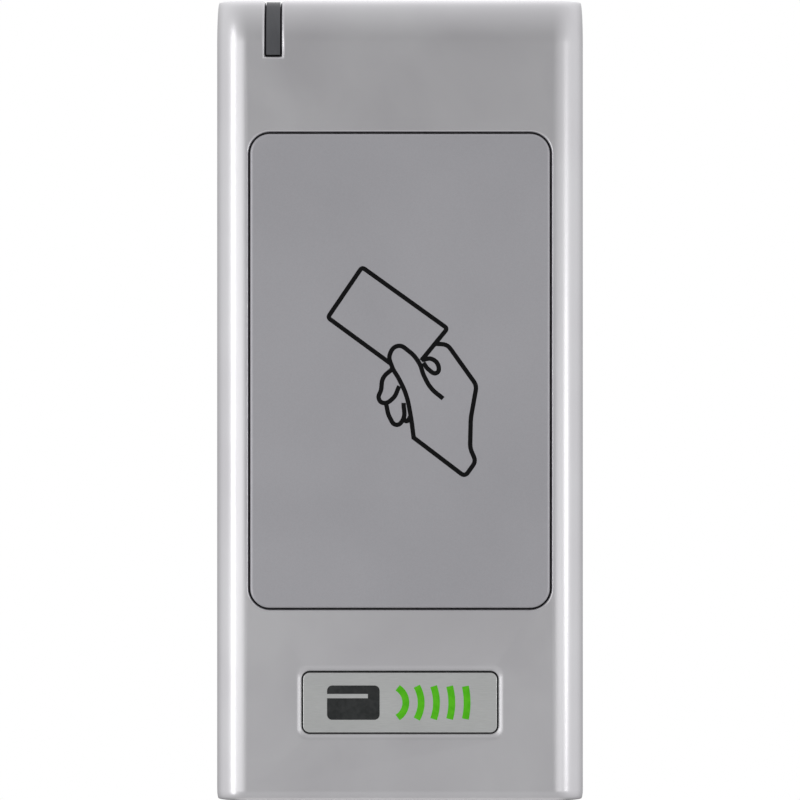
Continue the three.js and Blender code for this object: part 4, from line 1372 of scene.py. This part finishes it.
def brushed_badge():
    material, tree, shader, place = new_finish("brushed_badge", 0.4, 1.0)
    lines = stretched(tree, place, (0.06, 1.0, 1.0))
    grain = use(tree, GRAIN, lines, 0.09)["Height"]
    worn = use(tree, PATCHES, place, 8.0, Low=0.36, High=0.44)
    paint(tree, shader, remap(tree, grain, 0.45, 1.05), (0.60, 0.61, 0.60), (0.68, 0.69, 0.68))
    gloss(tree, shader, worn["Value"])
    relieve(tree, shader, grain, 1.5, 0.5)
    return material


def galvanised_sheet():
    material, tree, shader, place = new_finish("galvanised_sheet", 0.42, 1.0)
    warped = use(tree, PATCHES, place, 3.0)["Mask"]
    crystals = use(tree, CELLS, place, 3.6)
    tone = calculate(tree, "ADD", calculate(tree, "MULTIPLY", crystals["Tone"], 0.8),
                     calculate(tree, "MULTIPLY", warped, 0.2))
    paint(tree, shader, tone, (0.47, 0.49, 0.51), (0.66, 0.68, 0.69))
    gloss(tree, shader, remap(tree, crystals["Tone"], 0.0, 1.0, 0.5, 0.3))
    relieve(tree, shader, use(tree, GRAIN, place, 0.35)["Height"], 5.0, 0.5)
    return material


def bright_zinc():
    colors = (0.58, 0.6, 0.64), (0.7, 0.71, 0.72)
    return worn_finish("bright_zinc", 0.28, colors, (2.0, 0.2, 0.36), (0.12, 2.0, 0.5), 1.0)


def drawn_can():
    material, tree, shader, place = new_finish("drawn_can", 0.3, 1.0)
    drawn = use(tree, GRAIN, stretched(tree, place, (1.0, 0.08, 1.0)), 0.1)["Height"]
    paint(tree, shader, remap(tree, drawn, 0.4, 1.1), (0.6, 0.61, 0.63), (0.76, 0.77, 0.78))
    gloss(tree, shader, use(tree, PATCHES, place, 2.5, Low=0.22, High=0.36)["Value"])
    relieve(tree, shader, drawn, 2.0, 0.5)
    return material


def tinned_brass():
    colors = (0.66, 0.65, 0.6), (0.8, 0.8, 0.79)
    return worn_finish("tinned_brass", 0.25, colors, (0.9, 0.16, 0.34), (0.08, 1.0, 0.5), 1.0)


# %% [markdown]
# Paint and ink are thin and even. Silver paint holds metal flakes that are only seen as a faint glitter,
# under a fine orange peel. Ink dries matt and mottles slightly.

# %% Paint, ink and foil
def silver_paint():
    material, tree, shader, place = new_finish("silver_paint", 0.42, 0.55)
    flakes = use(tree, CELLS, place, 0.11)
    drift = use(tree, PATCHES, place, 26.0, Low=0.40, High=0.45)
    tone = calculate(tree, "ADD", calculate(tree, "MULTIPLY", flakes["Tone"], 0.5),
                     calculate(tree, "MULTIPLY", drift["Mask"], 0.5))
    paint(tree, shader, tone, (0.445, 0.44, 0.465), (0.495, 0.49, 0.515))
    gloss(tree, shader, drift["Value"])
    relieve(tree, shader, use(tree, GRAIN, place, 0.7)["Height"], 2.5, 0.4)
    return material


def printed_ink(name, dark, light):
    return worn_finish(name, 0.6, (dark, light), (0.8, 0.55, 0.7), (0.12, 2.0, 0.5), Specular_IOR_Level=0.1)


FRAME_HALF = 13.6 * MM, 8.6 * MM
FRAME_LINE_HALF = 0.12 * MM
RULE_UP, RULE_HALF = 3 * MM, 0.07 * MM


def blank_foil():
    """Silver foil with a printed frame and two rules, left blank."""
    material, tree, shader, place = new_finish("blank_foil", 0.38, 0.8)
    label_z = (label_low.z + label_high.z) / 2
    axes = add_node(tree, "ShaderNodeSeparateXYZ", Vector=place).outputs
    across = calculate(tree, "ABSOLUTE", axes["X"])
    up = calculate(tree, "ABSOLUTE", calculate(tree, "SUBTRACT", axes["Z"], label_z))
    past_side = calculate(tree, "SUBTRACT", across, FRAME_HALF[0])
    past_top = calculate(tree, "SUBTRACT", up, FRAME_HALF[1])
    frame_off = calculate(tree, "ABSOLUTE", calculate(tree, "MAXIMUM", past_side, past_top))
    rule_off = calculate(tree, "ABSOLUTE", calculate(tree, "SUBTRACT", up, RULE_UP))
    inside = calculate(tree, "LESS_THAN", across, FRAME_HALF[0])
    rule = calculate(tree, "MULTIPLY", calculate(tree, "LESS_THAN", rule_off, RULE_HALF), inside)
    line = calculate(tree, "MAXIMUM", calculate(tree, "LESS_THAN", frame_off, FRAME_LINE_HALF), rule)
    drift = use(tree, PATCHES, place, 4.0, Low=0.32, High=0.46)
    foil = blend_colors(tree, drift["Mask"], (0.62, 0.63, 0.64), (0.7, 0.71, 0.72))
    tree.links.new(blend_colors(tree, line, foil, (0.03, 0.03, 0.035)), shader.inputs["Base Color"])
    gloss(tree, shader, drift["Value"])
    relieve(tree, shader, use(tree, GRAIN, place, 0.25)["Height"], 2.0, 0.4)
    return material


# %% [markdown]
# Moulded plastic takes the texture of its mould, which is eroded by sparks, so it is never quite smooth. The
# light bar is polished and smoked: dark, with a thin clear coat of shine.

# %% Plastics and acrylic
def smoky_acrylic():
    polished = dict(IOR=1.49, Coat_Weight=0.3, Coat_Roughness=0.06)
    material, tree, shader, place = new_finish("smoky_acrylic", 0.16, **polished)
    flow = use(tree, PATCHES, stretched(tree, place, (1.0, 1.0, 0.35)), 2.5, Low=0.13, High=0.2)
    paint(tree, shader, flow["Mask"], (0.083, 0.085, 0.092), (0.103, 0.105, 0.114))
    gloss(tree, shader, flow["Value"])
    relieve(tree, shader, use(tree, GRAIN, place, 0.8)["Height"], 1.5, 0.4)
    return material


def moulded(name, dark, light, roughness, texture_mm, micrometres):
    """A moulded plastic with a spark-eroded texture."""
    patches = (9.0, roughness - 0.06, roughness + 0.06)
    return worn_finish(name, roughness, (dark, light), patches, (texture_mm, micrometres, 0.6))


def lamp_lens(name, dark, light):
    clear = dict(IOR=1.5, Transmission_Weight=0.25)
    return worn_finish(name, 0.2, (dark, light), (0.7, 0.14, 0.26), (0.1, 1.0, 0.4), **clear)


# %% [markdown]
# These are matt and full of cells, from closed foam to fine-grained rubber. Cells in relief suit them better
# than noise, because each bubble has an edge.

# %% Rubber, foam and adhesive
def soft_black(name, dark, light, cell_mm, micrometres):
    """Rubber or foam: matt, with a cell texture of its own size and a bloom of pale dust."""
    relief = (cell_mm, micrometres, 0.5)
    return worn_finish(name, 0.8, (dark, light), (5.0, 0.7, 0.9), relief, pattern=CELLS)


# %% [markdown]
# Inside, the board is glass-epoxy under green solder mask, which shows its copper tracks as paler lines and
# its plated holes as small gold rings. The antenna is enamelled wire wound round and round, so its finish
# draws one line for each turn, at an even distance from the coil's rim.

# %% Board and coil
def solder_mask():
    material, tree, shader, place = new_finish("solder_mask", 0.3)
    flat = stretched(tree, place, (1.0, 1.0, 1.0), math.radians(90))
    tracks = add_node(
        tree, "ShaderNodeTexBrick", {"offset": 0.37, "squash": 1.6}, Vector=flat, Scale=1000.0,
        Mortar_Size=0.13, Mortar_Smooth=0.1, Brick_Width=4.3, Row_Height=1.5,
    ).outputs["Fac"]
    hole = add_node(tree, "ShaderNodeTexVoronoi", {"voronoi_dimensions": "2D"}, Vector=flat, Scale=240.0)
    off = hole.outputs["Distance"]
    in_rim, off_hole = calculate(tree, "LESS_THAN", off, 0.11), calculate(tree, "GREATER_THAN", off, 0.05)
    ring = calculate(tree, "MULTIPLY", in_rim, off_hole)
    mask = blend_colors(tree, tracks, (0.012, 0.09, 0.035), (0.03, 0.17, 0.065))
    tree.links.new(blend_colors(tree, ring, mask, (0.62, 0.46, 0.18)), shader.inputs["Base Color"])
    tree.links.new(ring, shader.inputs["Metallic"])
    gloss(tree, shader, use(tree, PATCHES, place, 6.0, Low=0.24, High=0.38)["Value"])
    relieve(tree, shader, tracks, 30.0, 0.6)
    return material


WIRE = 0.3 * MM  # the enamelled wire's thickness


def wound_copper():
    material, tree, shader, place = new_finish("wound_copper", 0.3, 0.9, Coat_Weight=0.5, Coat_Roughness=0.15)
    coil_low, coil_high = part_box("antenna_coil")
    half_x, half_z = (coil_high.x - coil_low.x) / 2, (coil_high.z - coil_low.z) / 2
    axes = add_node(tree, "ShaderNodeSeparateXYZ", Vector=place).outputs
    up = calculate(tree, "SUBTRACT", axes["Z"], (coil_low.z + coil_high.z) / 2)
    in_x = calculate(tree, "SUBTRACT", calculate(tree, "ABSOLUTE", axes["X"]), half_x)
    in_z = calculate(tree, "SUBTRACT", calculate(tree, "ABSOLUTE", up), half_z)
    inward = calculate(tree, "MAXIMUM", in_x, in_z)
    turns = calculate(tree, "SINE", calculate(tree, "MULTIPLY", inward, 2 * math.pi / WIRE))
    layers = calculate(tree, "SINE", calculate(tree, "MULTIPLY", axes["Y"], 2 * math.pi / WIRE))
    wire = calculate(tree, "ADD", turns, layers)
    paint(tree, shader, remap(tree, wire, -2.0, 2.0), (0.2, 0.045, 0.015), (0.72, 0.26, 0.1))
    gloss(tree, shader, use(tree, PATCHES, place, 3.0, Low=0.24, High=0.4)["Value"])
    relieve(tree, shader, wire, 40.0, 0.8)
    return material


# %% [markdown]
# The floor is pale and matt, with clouds as wide as a hand.

# %% Studio floor
def pale_floor():
    material, tree, shader, place = new_finish("pale_floor", 0.85)
    cloud = use(tree, PATCHES, place, 90.0)
    paint(tree, shader, cloud["Mask"], (0.78, 0.78, 0.77), (0.82, 0.82, 0.81))
    relieve(tree, shader, use(tree, GRAIN, place, 1.5)["Height"], 40.0, 0.3)
    return material


# %% [markdown]
# ## Dressing the parts
# Each material slot of the record names a finish, and every part that is carried over from the frame gets the
# finish of its slot. The new pieces get theirs in the same way, and only the printed marks have their own.

# %% Finishes for slots
finish_of_slot = {
    "housing_metal": satin_nickel(),
    "window_paint": silver_paint(),
    "seal_foam": soft_black("closed_foam", (0.03, 0.03, 0.033), (0.05, 0.05, 0.052), 0.3, 60.0),
    "badge_metal": brushed_badge(),
    "adhesive": soft_black("foam_tape", (0.016, 0.016, 0.017), (0.03, 0.03, 0.03), 0.14, 20.0),
    "smoked_acrylic": smoky_acrylic(),
    "led_green": lamp_lens("green_lens", (0.25, 0.62, 0.28), (0.42, 0.78, 0.45)),
    "led_red": lamp_lens("red_lens", (0.66, 0.13, 0.09), (0.85, 0.27, 0.2)),
    "board_laminate": solder_mask(),
    "screw_steel": bright_zinc(),
    "copper_wire": wound_copper(),
    "ferrite": soft_black("ferrite_sheet_black", (0.022, 0.022, 0.025), (0.04, 0.04, 0.043), 0.18, 15.0),
    "chip_plastic": moulded("chip_epoxy", (0.010, 0.010, 0.012), (0.02, 0.02, 0.022), 0.5, 0.12, 6.0),
    "can_metal": drawn_can(),
    "black_plastic": moulded("black_moulding", (0.011, 0.011, 0.013), (0.02, 0.02, 0.022), 0.5, 0.28, 14.0),
    "header_plastic": moulded("cream_nylon", (0.68, 0.65, 0.56), (0.78, 0.75, 0.68), 0.42, 0.2, 5.0),
    "tinned_pin": tinned_brass(),
    "black_rubber": soft_black("nitrile_rubber", (0.010, 0.010, 0.010), (0.022, 0.022, 0.021), 0.22, 8.0),
    "label_foil": blank_foil(),
    "plate_steel": galvanised_sheet(),
}
print("finishes:", len(finish_of_slot))


# %% [markdown]
# A part that is carried over has its slots already, so only the material in them changes. A new piece has
# none, so it is given one.

# %% Dress everything
def dress(piece, material):
    piece.data.materials.clear()
    piece.data.materials.append(material)


for name, node in frame["nodes"].items():
    for place in node.material_slots:
        place.material = finish_of_slot[slot_of_node[name]]
for piece, node in stand_ins:
    dress(piece, finish_of_slot[slot_of_node[node]])
dress(pictogram, printed_ink("black_ink", (0.003, 0.003, 0.0035), (0.006, 0.006, 0.0065)))
dress(mark_card, printed_ink("grey_ink", (0.028, 0.030, 0.030), (0.045, 0.047, 0.047)))
dress(mark_waves, printed_ink("green_ink", (0.085, 0.50, 0.01), (0.12, 0.58, 0.018)))
dress(floor, pale_floor())
